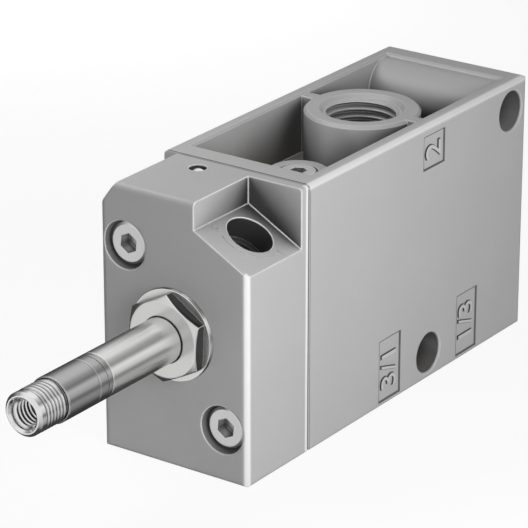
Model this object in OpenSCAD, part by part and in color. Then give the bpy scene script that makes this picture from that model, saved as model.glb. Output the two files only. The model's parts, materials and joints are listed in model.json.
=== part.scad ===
// Pneumatic solenoid valve, pilot operated, three ports, without its coil.
// X runs along the valve axis and points away from the armature tube.
// The origin is on the underside, midway between the two lower ports. Millimetres.

/* [Valve body] */
// Length of the die-cast body
body_len = 66; // [65:0.5:70]
// Width of the body and of the pilot cover
body_w = 28.8; // [28.4:0.2:32]
// Height of the body and of the pilot cover
body_h = 46; // [45.5:0.5:50]
// Distance from the middle of the lower ports to the parting face
body_front = 35.6; // [35.2:0.2:37]
// Thickness of the long side walls round the pockets
wall_side = 2.8; // [2.4:0.1:3.4]
// Thickness of the wall between the top pocket and the parting face
wall_front = 4; // [3:0.2:5]
// Thickness of the rear wall at the pockets
wall_back = 4.5; // [3.5:0.25:5]
// Depth of the open pocket in the top
top_pocket_depth = 10.5; // [8:0.25:10.5]
// Depth of the open pockets in the underside
base_pocket_depth = 10; // [6:0.5:10]
// Radius of the long upper edges
edge_r = 1.3; // [0.8:0.1:1.6]
// Small bevel on the pocket rims
rim_break = 0.35; // [0.2:0.05:0.5]
// Radius of the lower rear corner as seen from the side
base_corner_r = 1.2; // [0.4:0.1:1.6]

/* [Ports] */
// Outside diameter of the port threads, a quarter-inch pipe thread
port_thread_d = 13.16; // [12.6:0.1:13.6]
// Depth of the threaded length
port_thread_len = 11; // [9:0.5:11]
// Diameter of the mouth chamfer
port_mouth_d = 14.6; // [14:0.1:15.2]
// Outside diameter of a port's boss
port_boss_d = 19.7; // [19:0.1:20.5]
// Distance between the two lower ports
port_pitch = 24; // [23.6:0.2:25]
// Offset of the upper port from the middle of the lower ones
upper_port_dx = 0.6; // [0:0.1:1]
// How far the upper port's boss stays under the rim
upper_port_drop = 0.4; // [0.2:0.1:1]
// Diameter of the passage from a port to the valve bore
passage_d = 7; // [6:0.25:7.5]
// Thickness of the ribs that tie the upper boss to the side walls
boss_rib = 2.2; // [1.6:0.2:3]

/* [Mounting holes] */
// Diameter of the two mounting holes through the body's sides
mount_hole_d = 7.1; // [6.4:0.1:7.3]
// Height of the lower mounting hole
lower_hole_z = 4.6; // [4.4:0.1:5]
// Distance of the upper mounting hole from the top
upper_hole_down = 5.2; // [5:0.1:6]
// Distance of the upper mounting hole from the rear face
upper_hole_back = 5.5; // [5.1:0.1:6]
// Small bevel at the mouths of the mounting holes
mount_hole_break = 0.25; // [0.1:0.05:0.3]
// Diameter of the cast boss round the upper mounting hole
hole_boss_d = 9.5; // [9.2:0.1:9.6]

/* [Valve bore and inserts] */
// Height of the valve axis
axis_z = 23; // [22.6:0.1:23]
// Diameter of the piston bore
piston_bore_d = 19; // [18:0.2:19.2]
// Length of the piston bore
piston_bore_len = 9.5; // [9.2:0.1:10]
// Diameter of the bore that holds the seats
seat_bore_d = 17; // [16.4:0.1:17.2]
// Diameter of the supply chamber behind the rear seat
chamber_d = 16; // [15.2:0.2:16.2]
// Diameter of the pocket that centres the return spring
spring_pocket_d = 10; // [9.6:0.1:11]
// Length of that pocket
spring_pocket_len = 5.5; // [4.5:0.25:6]
// Length of one seat ring
seat_len = 3; // [2.6:0.1:3.2]
// Distance of each seat from its port's axis
seat_offset = 5.2; // [4.8:0.1:5.4]
// Diameter of the flow hole in a seat
seat_hole_d = 9; // [8.4:0.1:9.4]
// Height of the sealing lip on a seat
seat_lip = 0.4; // [0.3:0.05:0.6]
// Length of the guide bush
guide_len = 6.5; // [6:0.1:7]

/* [Piston and stem] */
// Travel of the piston and the stem
stem_stroke = 3; // [2.4:0.1:3.2]
// Diameter of the stem in the guide bush
stem_d = 6.4; // [6:0.1:6.8]
// Diameter of the stem where it carries the seals
stem_neck_d = 5; // [4.4:0.1:5.2]
// Diameter of the two poppet discs
poppet_d = 12.6; // [11.6:0.2:13]
// Thickness of a poppet disc
poppet_len = 2.6; // [2.2:0.1:2.8]
// Thickness of the pilot piston
piston_len = 4.4; // [4:0.1:4.6]
// Wire diameter of the return spring
return_wire = 0.7; // [0.5:0.05:0.8]
// Middle diameter of the return spring
return_spring_d = 8; // [7.8:0.1:8.4]

/* [Pilot cover] */
// Thickness of the gasket between cover and body
gasket_t = 0.4; // [0.3:0.05:0.5]
// How far the gasket stays inside the outline
gasket_inset = 0.8; // [0.6:0.1:1.2]
// Length of the pilot cover
cover_len = 16.6; // [16.4:0.1:17.4]
// Width of the bevel on the cover's far upper corner
corner_bevel_w = 3.2; // [2:0.2:3.4]
// Height of the bevel on the cover's far upper corner
corner_bevel_h = 4.3; // [3:0.1:4.6]
// Radius of the cover's upright edges
cover_edge_r = 1.2; // [0.8:0.1:1.4]
// Width of the corner notch for the manual override
notch_w = 10.3; // [9.8:0.1:10.6]
// Height of the notch's inner wall
notch_wall_h = 4.6; // [4:0.1:5.2]
// Thickness left between the notch and the parting face
notch_back = 2; // [1.6:0.1:2.2]
// Slope of the notch floor in degrees
notch_slope = 28.5; // [26:0.5:31]

/* [Cover screws and plugs] */
// Thread diameter of the cover screws
screw_d = 4; // [3.5:0.1:4.2]
// Head diameter of the cover screws
screw_head_d = 7; // [6.4:0.1:7.4]
// Head height of the cover screws
screw_head_h = 4; // [3.4:0.1:4.2]
// Width across flats of the screw socket
screw_socket = 3; // [2.5:0.1:3.2]
// Length of the screw under its head
screw_len = 20; // [18:0.5:21]
// Diameter of the counterbore round a screw head
screw_bore_d = 8.2; // [7.8:0.1:8.6]
// How deep the screw head lies under the cover's face
screw_sink = 0.9; // [0.6:0.1:1.2]
// Distance of the screws from the side faces
screw_in = 5; // [4.8:0.1:5.2]
// Distance of the upper screw from the top
upper_screw_down = 10.1; // [9.8:0.1:10.4]
// Height of the lower screw
lower_screw_z = 8.8; // [8.4:0.1:9.2]
// Diameter of the cast bosses round the screw holes in the pockets
screw_boss_d = 8; // [7:0.2:8.4]
// Diameter of the balls that close the drilled channels
ball_d = 2.9; // [2.6:0.1:3]
// Distance of the top ball from the far side
ball_in = 9.8; // [9.2:0.1:10.2]
// Diameter of the boss round the plug in the top pocket
plug_boss_d = 9.9; // [9:0.1:10.2]
// Height of that boss over the pocket floor
plug_boss_h = 4.5; // [3.5:0.25:4.75]
// Distance of the plug from the parting face
plug_back = 17.4; // [17.2:0.1:17.6]
// Head diameter of the plug
plug_head_d = 6.5; // [6.2:0.1:7]
// Thread diameter of the plug
plug_d = 5; // [4.5:0.1:5.2]

/* [Armature tube] */
// Outside diameter of the armature tube
tube_d = 7.7; // [7.5:0.05:7.8]
// Wall of the armature tube
tube_wall = 0.5; // [0.4:0.05:0.55]
// Length of the tube that stands out of the cover, up to the band
tube_out = 20.2; // [19:0.2:22]
// Length of the non-magnetic band
band_len = 3.2; // [2.8:0.1:3.6]
// Length of the plain part of the core stop
core_len = 7.6; // [7:0.1:9]
// Length of the outside thread for the coil's nut
tip_thread_len = 5; // [4.5:0.1:6]
// Outside diameter of that thread
tip_thread_d = 7.24; // [7:0.02:7.3]
// Length of the plain end in front of the thread
tip_end_len = 1.6; // [1.2:0.1:2]
// Outside diameter of the plain end
tip_end_d = 7.2; // [7.16:0.02:7.2]
// Outside diameter of the exhaust thread in the tip
exhaust_thread_d = 5; // [4.6:0.1:5.2]
// Depth of the exhaust thread
exhaust_thread_len = 8.2; // [7.5:0.1:9]
// Diameter of the thin disc under the hexagon
base_disc_d = 15.5; // [15:0.1:16.5]
// Thickness of that disc
base_disc_t = 0.8; // [0.6:0.1:1]
// Width across flats of the hexagon
hex_af = 13; // [12.6:0.1:13.2]
// Height of the hexagon
hex_h = 2.2; // [2:0.1:2.6]
// Turn of the hexagon in degrees
hex_turn = 3; // [0:1:30]
// Diameter of the thread under the hexagon
hex_thread_d = 12; // [11.6:0.1:12.2]
// Length of the thread under the hexagon
hex_thread_len = 5; // [4.6:0.1:5.2]

/* [Armature and pilot seat] */
// Travel of the armature
armature_stroke = 1.1; // [0.8:0.05:1.2]
// Running clearance of the armature in its tube
armature_gap = 0.07; // [0.04:0.01:0.09]
// Diameter of the armature's seal end
armature_neck_d = 5.4; // [5:0.1:5.6]
// Distance of the pilot seat from the cover's front face
pilot_seat_in = 7.1; // [6.9:0.1:7.2]
// Diameter of the pilot chamber
pilot_chamber_d = 8.6; // [8.2:0.1:8.8]
// Diameter of the pilot nozzle
nozzle_d = 4.4; // [4:0.1:4.6]
// Bore of the pilot nozzle
nozzle_bore_d = 0.9; // [0.7:0.1:1.1]
// Wire diameter of the armature spring
armature_wire = 0.34; // [0.26:0.02:0.38]
// Middle diameter of the armature spring
armature_spring_d = 2.9; // [2.8:0.05:3]

/* [Manual override] */
// Diameter of the override's bore
override_bore_d = 7.9; // [7.6:0.1:8.1]
// Distance of the override from the cover's front face
override_in = 8.7; // [8.5:0.1:9]
// Length of the narrow bore that guides the override's shank
override_land = 3.3; // [3:0.1:3.5]
// Room for the override's spring at rest
override_spring_len = 3.2; // [3:0.1:3.4]
// Head diameter of the override pin
override_head_d = 7.4; // [7.2:0.05:7.5]
// Shank diameter of the override pin
override_shank_d = 4.5; // [4.3:0.05:4.6]
// Push travel of the override pin
override_stroke = 1.4; // [1:0.1:1.4]
// Width of the screwdriver slot
override_slot = 1; // [0.8:0.1:1.2]
// Wire diameter of the override spring
override_wire = 0.36; // [0.3:0.02:0.4]

/* [Labels on the near side] */
// Depth of the plain fields for the port numbers
field_sink = 0.25; // [0.15:0.05:0.4]
// Width of a field
field_w = 6.3; // [6:0.1:6.6]
// Height of the upper port's field
upper_field_h = 5.8; // [5.4:0.1:6.2]
// Height of the lower ports' fields
lower_field_h = 11; // [10.6:0.1:11.4]
// Distance of the upper field from the top
upper_field_down = 2; // [1.6:0.1:2.2]
// Distance of the lower fields from the underside
lower_field_up = 0.8; // [0.6:0.1:1.2]

/* [Hidden] */
$fn = 64;
// Assembly clearance of parts that are put together by hand
fit = 0.05;
// Clearance between bodies that move past each other without guiding
free = 0.1;
// Overshoot of a cutting solid past the face that it opens
cut = 1;

// Colours
cast_grey = [0.70, 0.70, 0.70];
cover_grey = [0.62, 0.62, 0.62];
steel = [0.78, 0.78, 0.79];
dark_steel = [0.55, 0.55, 0.56];
brass = [0.80, 0.66, 0.36];
black_rubber = [0.08, 0.08, 0.08];
copper = [0.78, 0.45, 0.30];

// Planes along the valve
x_part = -body_front;
x_back = body_len - body_front;
x_cover_back = x_part - gasket_t;
x_cover_front = x_cover_back - cover_len;
x_port = port_pitch / 2;
x_bore_step = x_part + piston_bore_len;
x_guide_end = x_bore_step + guide_len;
x_exhaust_seat = -x_port + seat_offset;
x_supply_seat = x_port - seat_offset;
x_pocket_end = x_back - wall_back;
x_chamber_end = x_pocket_end - spring_pocket_len;
x_base_pocket_end = -x_port - 4;
screw_boss_end = 3;
x_screw_boss = x_cover_front + screw_sink + screw_head_h + screw_len + screw_boss_end;

// Heights
z_top_floor = body_h - top_pocket_depth;
upper_hole_z = body_h - upper_hole_down;
upper_screw_z = body_h - upper_screw_down;
z_upper_port = body_h - upper_port_drop;
upper_field_z = body_h - upper_field_down - upper_field_h;
pocket_w = body_w - 2 * wall_side;

// Places across the width
screw_dy = body_w / 2 - screw_in;
ball_y = body_w / 2 - ball_in;

// Small bevels and the clearance holes of the cover screws
boss_bevel = 0.5;
screw_bevel = 0.4;
screw_hole_gap = 0.2;
socket_depth = 2.2;

// Plug in the top pocket, over a drilling into the valve bore
x_plug = x_part + plug_back;
plug_head_t = 1.5;
plug_bevel = 0.4;
plug_socket = 2.5;
plug_socket_under = 0.6;
plug_washer_t = 0.4;
plug_stand = 0.1;
plug_web = 0.7;
plug_tip = 0.6;
plug_hole_d = 2;
z_plug_boss = z_top_floor + plug_boss_h;
z_plug_seat = z_plug_boss - plug_head_t - plug_washer_t + plug_stand;
plug_len = z_plug_seat - axis_z - seat_bore_d / 2 - plug_web;

// Breather from the underside to the space behind the piston
breather_d = 1.2;
x_breather = x_bore_step - 3;

// Inserts
insert_r = seat_bore_d / 2 - fit;
cage_wall = 1.15;
insert_oring_d = 1.15;
insert_groove_w = 1.6;
x_guide_oring = x_guide_end - 2.4;
stem_seal_d = 1.64;
stem_groove_w = 2;
x_stem_seal = x_bore_step + 2.2;
circlip_t = 1;
circlip_depth = 0.6;
circlip_w = 2;
circlip_gap = 6;
seat_rim = 0.7;
supply_window_d = 5.4;

// Piston and stem
x_piston = x_part + 0.7;
x_piston_end = x_piston + piston_len;
piston_r = piston_bore_d / 2 - free;
piston_land = 1.1;
piston_groove_d = 1.7;
seal_gap = 0.04;
lip_t = 0.3;
stem_in_piston = 1.6;
seat_gap = 0.1;
x_exhaust_poppet = x_exhaust_seat - seat_lip - seat_gap - stem_stroke - poppet_len;
x_supply_poppet = x_supply_seat + seat_lip + seat_gap;
x_stem_clip = x_supply_poppet + poppet_len;
stem_clip_t = 0.8;
stem_clip_depth = 0.5;
stem_clip_w = 1.4;
stem_clip_gap = 2.4;
x_stem_end = x_stem_clip + stem_clip_t + 1.2;
spring_play = 0.05;
sleeve_wall = 0.9;

// Side channel for the pilot supply
supply_in = 2.8;
supply_y = body_w / 2 - supply_in;
supply_z = axis_z + 4;
supply_d = 1.8;
filter_d = 3.2;
filter_t = 1;

// Cover drillings
x_channel = x_part - 4;
channel_d = 2;
top_channel_d = 1.6;
x_nozzle_bore = x_channel + channel_d / 2 + 0.3;
top_ball_sink = 0.1;
side_ball_sink = 0.3;
signal_dz = 3.6;
signal_d = 1.4;
cross_angle = atan((supply_z - axis_z) / supply_y);
cross_len = (body_w / 2) / cos(cross_angle);
z_top_channel = axis_z + ball_y * tan(cross_angle);

// Armature tube and pilot parts
tube_r = tube_d / 2;
tube_bore_r = tube_r - tube_wall;
x_hex = x_cover_front - base_disc_t;
x_hex_front = x_hex - hex_h;
x_gland_end = x_cover_front + hex_thread_len - base_disc_t;
flange_t = 0.9;
flange_step = 0.3;
tube_relief = 0.2;
tube_relief_depth = 0.2;
hex_bevel = 0.75;
hex_overlap = 0.2;
hex_face_in = 0.1;
gland_oring_d = 1;
gland_groove_w = 1.3;
gland_groove_depth = 1;
x_gland_oring = x_gland_end - 1.75;
x_socket_end = x_gland_end + flange_t + fit;
x_band = x_cover_front - tube_out;
x_core = x_band - band_len;
x_tip_thread = x_core - core_len;
x_tip_end = x_tip_thread - tip_thread_len;
x_tip = x_tip_end - tip_end_len;
x_pilot_seat = x_cover_front + pilot_seat_in;
x_chamber_back = x_pilot_seat + 2.9;
x_nozzle_back = x_pilot_seat + 5.1;
x_armature_back = x_pilot_seat - 0.1;
x_pole = x_band - 1;
x_armature_front = x_pole + armature_stroke + 0.1;
armature_r = tube_bore_r - armature_gap;
spring_hole_d = 3.6;
spring_hole_len = 7.5;
x_spring_seat = x_armature_front + spring_hole_len;
pad_t = 1.2;
front_pad_d = 2.1;
pilot_pad_t = 1.3;
pilot_pad_d = 3.8;
nose_d = 1.9;
exhaust_hole_d = 1;
tip_bevel = 0.5;
mouth_bevel = 0.4;
x_nose = x_spring_seat - pad_t - armature_stroke - 0.1;
neck_len = 1.6;
armature_bevel = 0.3;
armature_slot_w = 0.8;
armature_slot_depth = 0.4;
groove_v = 0.15;
band_groove_in = 1.2;
shading_d = 5.2;
shading_w = 0.6;
shading_len = 0.8;
nozzle_tip_d = 1.6;
nozzle_stem_d = 2.6;
nozzle_tip_len = 0.9;
nozzle_flange_t = 0.8;

// Override, measured along its own axis from the valve axis
override_x = x_cover_front + override_in;
notch_y = -(body_w / 2 - notch_w);
notch_z = body_h - notch_wall_h;
u_floor = cos(notch_slope) * (notch_z - axis_z - notch_y * tan(notch_slope));
u_land = pilot_chamber_d / 2 + override_land;
u_washer = u_land + override_spring_len;
washer_t = 0.6;
washer_play = 0.02;
u_head = u_washer + washer_t;
head_t = 1.8;
u_head_top = u_head + head_t;
u_nose = pilot_chamber_d / 2 - 0.3;
nose_len = 1.1;
override_nose_d = 2.4;
slot_depth = 1;
clip_t = 0.5;
clip_grip = 0.3;
clip_lip = 0.7;
override_oring_d = 0.76;
override_groove_w = 1;
override_groove_depth = 0.75;
u_override_oring = u_land - 0.9;

// A rectangle from corner to corner with its own radius at each corner:
// radii go round from the low corner, first along the first axis.
module corner_rect(lo, hi, radii) {
  centres = [
    [lo[0] + radii[0], lo[1] + radii[0]],
    [hi[0] - radii[1], lo[1] + radii[1]],
    [hi[0] - radii[2], hi[1] - radii[2]],
    [lo[0] + radii[3], hi[1] - radii[3]]
  ];
  polygon([
    [centres[0][0], lo[1]], [centres[1][0], lo[1]], [hi[0], centres[1][1]], [hi[0], centres[2][1]],
    [centres[2][0], hi[1]], [centres[3][0], hi[1]], [lo[0], centres[3][1]], [lo[0], centres[0][1]]
  ]);
  for (i = [0:3]) translate(centres[i]) circle(r = radii[i]);
}

// A block whose edges are rounded as seen along each of the three axes
module soft_block(lo, hi, r_yz, r_xz, r_xy) {
  intersection() {
    translate([lo[0], 0, 0]) rotate([90, 0, 90]) linear_extrude(hi[0] - lo[0])
      corner_rect([lo[1], lo[2]], [hi[1], hi[2]], r_yz);
    translate([0, hi[1], 0]) rotate([90, 0, 0]) linear_extrude(hi[1] - lo[1])
      corner_rect([lo[0], lo[2]], [hi[0], hi[2]], r_xz);
    translate([0, 0, lo[2]]) linear_extrude(hi[2] - lo[2])
      corner_rect([lo[0], lo[1]], [hi[0], hi[1]], r_xy);
  }
}

// A plain box from corner to corner
module span(lo, hi) {
  translate(lo) cube(hi - lo);
}

// A cylinder along X, from one plane to another, on the valve axis unless moved
module rod(x0, x1, r, y = 0, z = axis_z) {
  translate([min(x0, x1), y, z]) rotate([0, 90, 0]) cylinder(r = r, h = abs(x1 - x0));
}

// A cone along X: radius ra at xa, radius rb at xb, where xb lies behind xa
module taper(xa, xb, ra, rb, y = 0, z = axis_z) {
  translate([xa, y, z]) rotate([0, 90, 0]) cylinder(r1 = ra, r2 = rb, h = xb - xa);
}

// A ring along X
module tube_x(x0, x1, ro, ri) {
  difference() {
    rod(x0, x1, ro);
    rod(min(x0, x1) - cut, max(x0, x1) + cut, ri);
  }
}

// A round seal along X: middle plane, radius of its centre line, and section radius
module oring_x(x, rc, rs) {
  translate([x, 0, axis_z]) rotate([0, 90, 0]) rotate_extrude() translate([rc, 0]) circle(r = rs, $fn = 24);
}

// Moves a shape that is drawn along Z from the valve axis onto the override's sloping axis
module on_override_axis() {
  translate([override_x, 0, axis_z]) rotate([notch_slope, 0, 0]) children();
}

// A hexagonal prism along X, cornered at the given turn from upright
module hex_x(x0, x1, af, turn) {
  translate([x0, 0, axis_z]) rotate([turn, 0, 0]) rotate([0, 90, 0])
    cylinder(d = af / cos(30), h = x1 - x0, $fn = 6);
}

// A coil spring along Z from 0 to len: closed and flat turns at both ends
module coil(mean_d, wire, len, turns) {
  closed = 1.1;
  flat = 1.06 * wire;
  sides = 8;
  per_turn = 14;
  steps = round(turns * per_turn);
  lift = (len - wire - 2 * closed * flat) / (turns - 2 * closed);
  function rise(t) = t < closed ? t * flat
    : t < turns - closed ? closed * flat + (t - closed) * lift
    : closed * flat + (turns - 2 * closed) * lift + (t - turns + closed) * flat;
  ring_points = [
    for (i = [0:steps]) let (t = turns * i / steps, a = 360 * t, z = wire / 2 + rise(t))
      for (k = [0:sides - 1]) let (b = 360 * k / sides, r = mean_d / 2 + wire / 2 * cos(b))
        [r * cos(a), r * sin(a), z + wire / 2 * sin(b)]
  ];
  side_faces = [
    for (i = [0:steps - 1]) for (k = [0:sides - 1]) let (n = (k + 1) % sides)
      [i * sides + k, i * sides + n, (i + 1) * sides + n, (i + 1) * sides + k]
  ];
  end_faces = [
    [for (k = [sides - 1:-1:0]) k],
    [for (k = [0:sides - 1]) steps * sides + k]
  ];
  polyhedron(ring_points, concat(side_faces, end_faces), convexity = 8);
}

// One port seen from its mouth: thread, mouth chamfer and the passage inwards, drawn along -Z from 0
module port_cut(inward) {
  mouth = (port_mouth_d - port_thread_d) / 2;
  translate([0, 0, -port_thread_len]) cylinder(d = port_thread_d, h = port_thread_len + cut);
  translate([0, 0, -mouth]) cylinder(d1 = port_thread_d, d2 = port_mouth_d, h = mouth);
  cylinder(d = port_mouth_d, h = cut);
  translate([0, 0, -inward]) cylinder(d = passage_d, h = inward);
}

// Body: the shell with the pockets cut out and the bosses left standing
module body_outside() {
  soft_block([x_part, -body_w / 2, 0], [x_back, body_w / 2, body_h],
    [0.4, 0.4, edge_r, edge_r], [0.3, base_corner_r, edge_r, 0.3], [0.3, edge_r, edge_r, 0.3]);
}

// Outline of a rim bevel on both sides of a gap from a to b, opening upwards past the top face
module rim_profile(a, b) {
  low = body_h - rim_break;
  polygon([[a, low - cut], [b, low - cut], [b, low], [b + rim_break + cut, body_h + cut],
    [a - rim_break - cut, body_h + cut], [a, low]]);
}

module top_pocket() {
  x_start = x_part + wall_front;
  span([x_start, -pocket_w / 2, z_top_floor], [x_pocket_end, pocket_w / 2, body_h]);
  intersection() {
    rotate([90, 0, 0]) linear_extrude(body_w + 2 * cut, center = true) rim_profile(x_start, x_pocket_end);
    translate([x_part, 0, 0]) rotate([90, 0, 90]) linear_extrude(body_len)
      rim_profile(-pocket_w / 2, pocket_w / 2);
  }
}

module base_pocket() {
  difference() {
    span([x_part + wall_front, -pocket_w / 2, -cut], [x_base_pocket_end, pocket_w / 2, base_pocket_depth]);
    translate([-x_port, 0, -2 * cut]) cylinder(d = port_boss_d, h = base_pocket_depth + 4 * cut);
    rod(x_part, x_screw_boss, screw_boss_d / 2, -screw_dy, lower_screw_z);
  }
}

module upper_port_boss() {
  translate([upper_port_dx, 0, z_top_floor - cut])
    cylinder(d = port_boss_d, h = z_upper_port - boss_bevel - z_top_floor + cut);
  translate([upper_port_dx, 0, z_upper_port - boss_bevel])
    cylinder(d1 = port_boss_d, d2 = port_boss_d - 2 * boss_bevel, h = boss_bevel);
  span([upper_port_dx - boss_rib / 2, -pocket_w / 2 - cut, z_top_floor - cut],
    [upper_port_dx + boss_rib / 2, pocket_w / 2 + cut, z_upper_port]);
}

// A hole through both sides, with a small bevel at each mouth
module mount_hole(x, z) {
  translate([x, body_w / 2 + cut, z]) rotate([90, 0, 0]) cylinder(d = mount_hole_d, h = body_w + 2 * cut);
  for (side = [-1, 1]) translate([x, side * (body_w / 2 - mount_hole_break), z]) rotate([-side * 90, 0, 0])
    cylinder(d1 = mount_hole_d, d2 = mount_hole_d + 2 * (mount_hole_break + cut), h = mount_hole_break + cut);
}

module number_field(x, z0, h) {
  span([x - field_w / 2, -body_w / 2 - cut, z0], [x + field_w / 2, -body_w / 2 + field_sink, z0 + h]);
}

module body_bore() {
  rod(x_part - cut, x_bore_step, piston_bore_d / 2);
  rod(x_bore_step - circlip_t, x_bore_step, piston_bore_d / 2 + circlip_depth);
  rod(x_part - cut, x_supply_seat, seat_bore_d / 2);
  rod(x_supply_seat - cut, x_chamber_end, chamber_d / 2);
  rod(x_chamber_end - cut, x_pocket_end, spring_pocket_d / 2);
}

module valve_body() color(cast_grey) difference() {
  union() {
    difference() {
      body_outside();
      top_pocket();
      base_pocket();
    }
    intersection() {
      body_outside();
      union() {
        upper_port_boss();
        translate([x_back - upper_hole_back, pocket_w / 2 + cut, upper_hole_z])
          rotate([90, 0, 0]) cylinder(d = hole_boss_d, h = pocket_w + 2 * cut);
        rod(x_part + cut, x_screw_boss, screw_boss_d / 2, screw_dy, upper_screw_z);
        translate([x_plug, 0, z_top_floor - cut]) cylinder(d = plug_boss_d, h = plug_boss_h + cut);
      }
    }
  }
  body_bore();
  translate([upper_port_dx, 0, z_upper_port]) port_cut(z_upper_port - axis_z);
  for (x = [-x_port, x_port]) translate([x, 0, 0]) rotate([180, 0, 0]) port_cut(axis_z);
  mount_hole(0, lower_hole_z);
  mount_hole(x_back - upper_hole_back, upper_hole_z);
  rod(x_part - cut, x_screw_boss - cut, screw_d / 2 + fit, screw_dy, upper_screw_z);
  rod(x_part - cut, x_screw_boss - cut, screw_d / 2 + fit, -screw_dy, lower_screw_z);
  rod(x_part - cut, x_port, supply_d / 2, supply_y, supply_z);
  translate([x_port, supply_y, supply_z]) rotate([90, 0, 0]) cylinder(d = supply_d, h = supply_y);
  rod(x_part - cut, x_part + filter_t, filter_d / 2 + fit, supply_y, supply_z);
  translate([x_breather, 0, 0]) cylinder(d = breather_d, h = axis_z);
  plug_cut();
  number_field(upper_port_dx, upper_field_z, upper_field_h);
  number_field(-x_port, lower_field_up, lower_field_h);
  number_field(x_port, lower_field_up, lower_field_h);
}

module plug_cut() {
  translate([x_plug, 0, z_plug_seat]) cylinder(d = plug_head_d + 2 * fit, h = plug_boss_h);
  translate([x_plug, 0, z_plug_seat - plug_len]) cylinder(d = plug_d + 2 * fit, h = plug_len + cut);
  translate([x_plug, 0, axis_z]) cylinder(d = plug_hole_d, h = z_plug_seat - axis_z);
}

// Plug in the top pocket: low round head with a hexagon socket, and its thread
module pocket_plug() color(steel) translate([x_plug, 0, z_plug_seat + plug_washer_t]) difference() {
  union() {
    cylinder(d = plug_head_d, h = plug_head_t - plug_bevel);
    translate([0, 0, plug_head_t - plug_bevel])
      cylinder(d1 = plug_head_d, d2 = plug_head_d - 2 * plug_bevel, h = plug_bevel);
    translate([0, 0, plug_tip - plug_washer_t - plug_len])
      cylinder(d = plug_d, h = plug_len + plug_washer_t - plug_tip + fit);
  }
  translate([0, 0, -plug_socket_under]) cylinder(d = plug_socket / cos(30), h = plug_head_t + cut, $fn = 6);
}

module plug_washer() color(copper) translate([x_plug, 0, z_plug_seat]) difference() {
  cylinder(d = plug_head_d, h = plug_washer_t);
  translate([0, 0, -cut]) cylinder(d = plug_d + 2 * fit, h = plug_washer_t + 2 * cut);
}

module filter_disc() color(brass) rod(x_part, x_part + filter_t, filter_d / 2, supply_y, supply_z);

// Cover: block with one bevelled corner, the sloping notch and its bores
module cover_outside() {
  top_bevel = [
    [body_w / 2 - corner_bevel_w, body_h + cut], [body_w / 2 - corner_bevel_w, body_h],
    [body_w / 2, body_h - corner_bevel_h], [body_w / 2 + cut, body_h - corner_bevel_h],
    [body_w / 2 + cut, body_h + cut]
  ];
  difference() {
    soft_block([x_cover_front, -body_w / 2, 0], [x_cover_back, body_w / 2, body_h],
      [0.4, 0.4, 0.4, 0.6], [0.4, 0.3, 0.3, 0.9], [cover_edge_r, 0.3, 0.3, cover_edge_r]);
    translate([x_cover_front - cut, 0, 0]) rotate([90, 0, 90]) linear_extrude(cover_len + 2 * cut)
      polygon(top_bevel);
  }
}

module notch_cut() {
  low_y = -body_w / 2 - cut;
  translate([x_cover_front - cut, 0, 0]) rotate([90, 0, 90]) linear_extrude(cover_len + cut - notch_back)
    polygon([
      [notch_y, body_h + cut], [notch_y, notch_z], [low_y, notch_z + (low_y - notch_y) * tan(notch_slope)],
      [low_y, body_h + cut]
    ]);
}

module override_cut() on_override_axis() {
  translate([0, 0, u_land]) cylinder(d = override_bore_d, h = u_floor - u_land + 3 * cut);
  cylinder(d = override_shank_d + 2 * free, h = u_land + cut);
  translate([0, 0, u_head_top + fit])
    cylinder(r = override_bore_d / 2 + clip_grip + fit, h = clip_t + 2 * fit);
}

module screw_cut(y, z) {
  rod(x_cover_front - cut, x_cover_front + screw_sink + screw_head_h, screw_bore_d / 2, y, z);
  rod(x_cover_front, x_cover_back + cut, screw_d / 2 + screw_hole_gap, y, z);
}

module pilot_cover() color(cover_grey) difference() {
  cover_outside();
  notch_cut();
  override_cut();
  screw_cut(screw_dy, upper_screw_z);
  screw_cut(-screw_dy, lower_screw_z);
  rod(x_cover_front - cut, x_socket_end, hex_thread_d / 2 + fit);
  rod(x_socket_end - cut, x_chamber_back, pilot_chamber_d / 2);
  rod(x_chamber_back - cut, x_nozzle_bore, nozzle_d / 2 + fit);
  rod(x_chamber_back - cut, x_cover_back + cut, signal_d / 2, 0, axis_z - signal_dz);
  rod(x_channel, x_cover_back + cut, supply_d / 2, supply_y, supply_z);
  cross_drilling();
  translate([x_channel, ball_y, z_top_channel]) cylinder(d = top_channel_d, h = body_h - z_top_channel);
  translate([x_channel, ball_y, body_h - top_ball_sink]) ball_seat(top_channel_d);
}

// Pocket for a ball whose outermost point is at 0, over a drilling that leads down -Z
module ball_seat(drill_d) {
  down = ball_d / 2 + sqrt(pow(ball_d / 2, 2) - pow(drill_d / 2, 2)) + fit / 2;
  translate([0, 0, -down]) cylinder(d = ball_d + 2 * fit, h = down + cut);
}

// Drilling from the far side through the supply channel to the nozzle
module along_cross() {
  translate([x_channel, 0, axis_z]) rotate([cross_angle - 90, 0, 0]) children();
}

module cross_drilling() along_cross() {
  cylinder(d = channel_d, h = cross_len + cut);
  translate([0, 0, cross_len - side_ball_sink]) ball_seat(channel_d);
}

module channel_balls() color(steel) {
  translate([x_channel, ball_y, body_h - top_ball_sink - ball_d / 2]) sphere(d = ball_d);
  along_cross() translate([0, 0, cross_len - side_ball_sink - ball_d / 2]) sphere(d = ball_d);
}

module cover_gasket() color(black_rubber) difference() {
  w = body_w / 2 - gasket_inset;
  translate([x_cover_back, 0, 0]) rotate([90, 0, 90]) linear_extrude(gasket_t) polygon([
    [-w, gasket_inset], [w, gasket_inset], [w, body_h - corner_bevel_h - gasket_inset / 2],
    [w - corner_bevel_w, body_h - gasket_inset], [-w, body_h - gasket_inset]
  ]);
  rod(x_cover_back - cut, x_part + cut, piston_bore_d / 2);
  rod(x_cover_back - cut, x_part + cut, screw_d / 2 + screw_hole_gap, screw_dy, upper_screw_z);
  rod(x_cover_back - cut, x_part + cut, screw_d / 2 + screw_hole_gap, -screw_dy, lower_screw_z);
  rod(x_cover_back - cut, x_part + cut, supply_d / 2, supply_y, supply_z);
}

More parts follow.
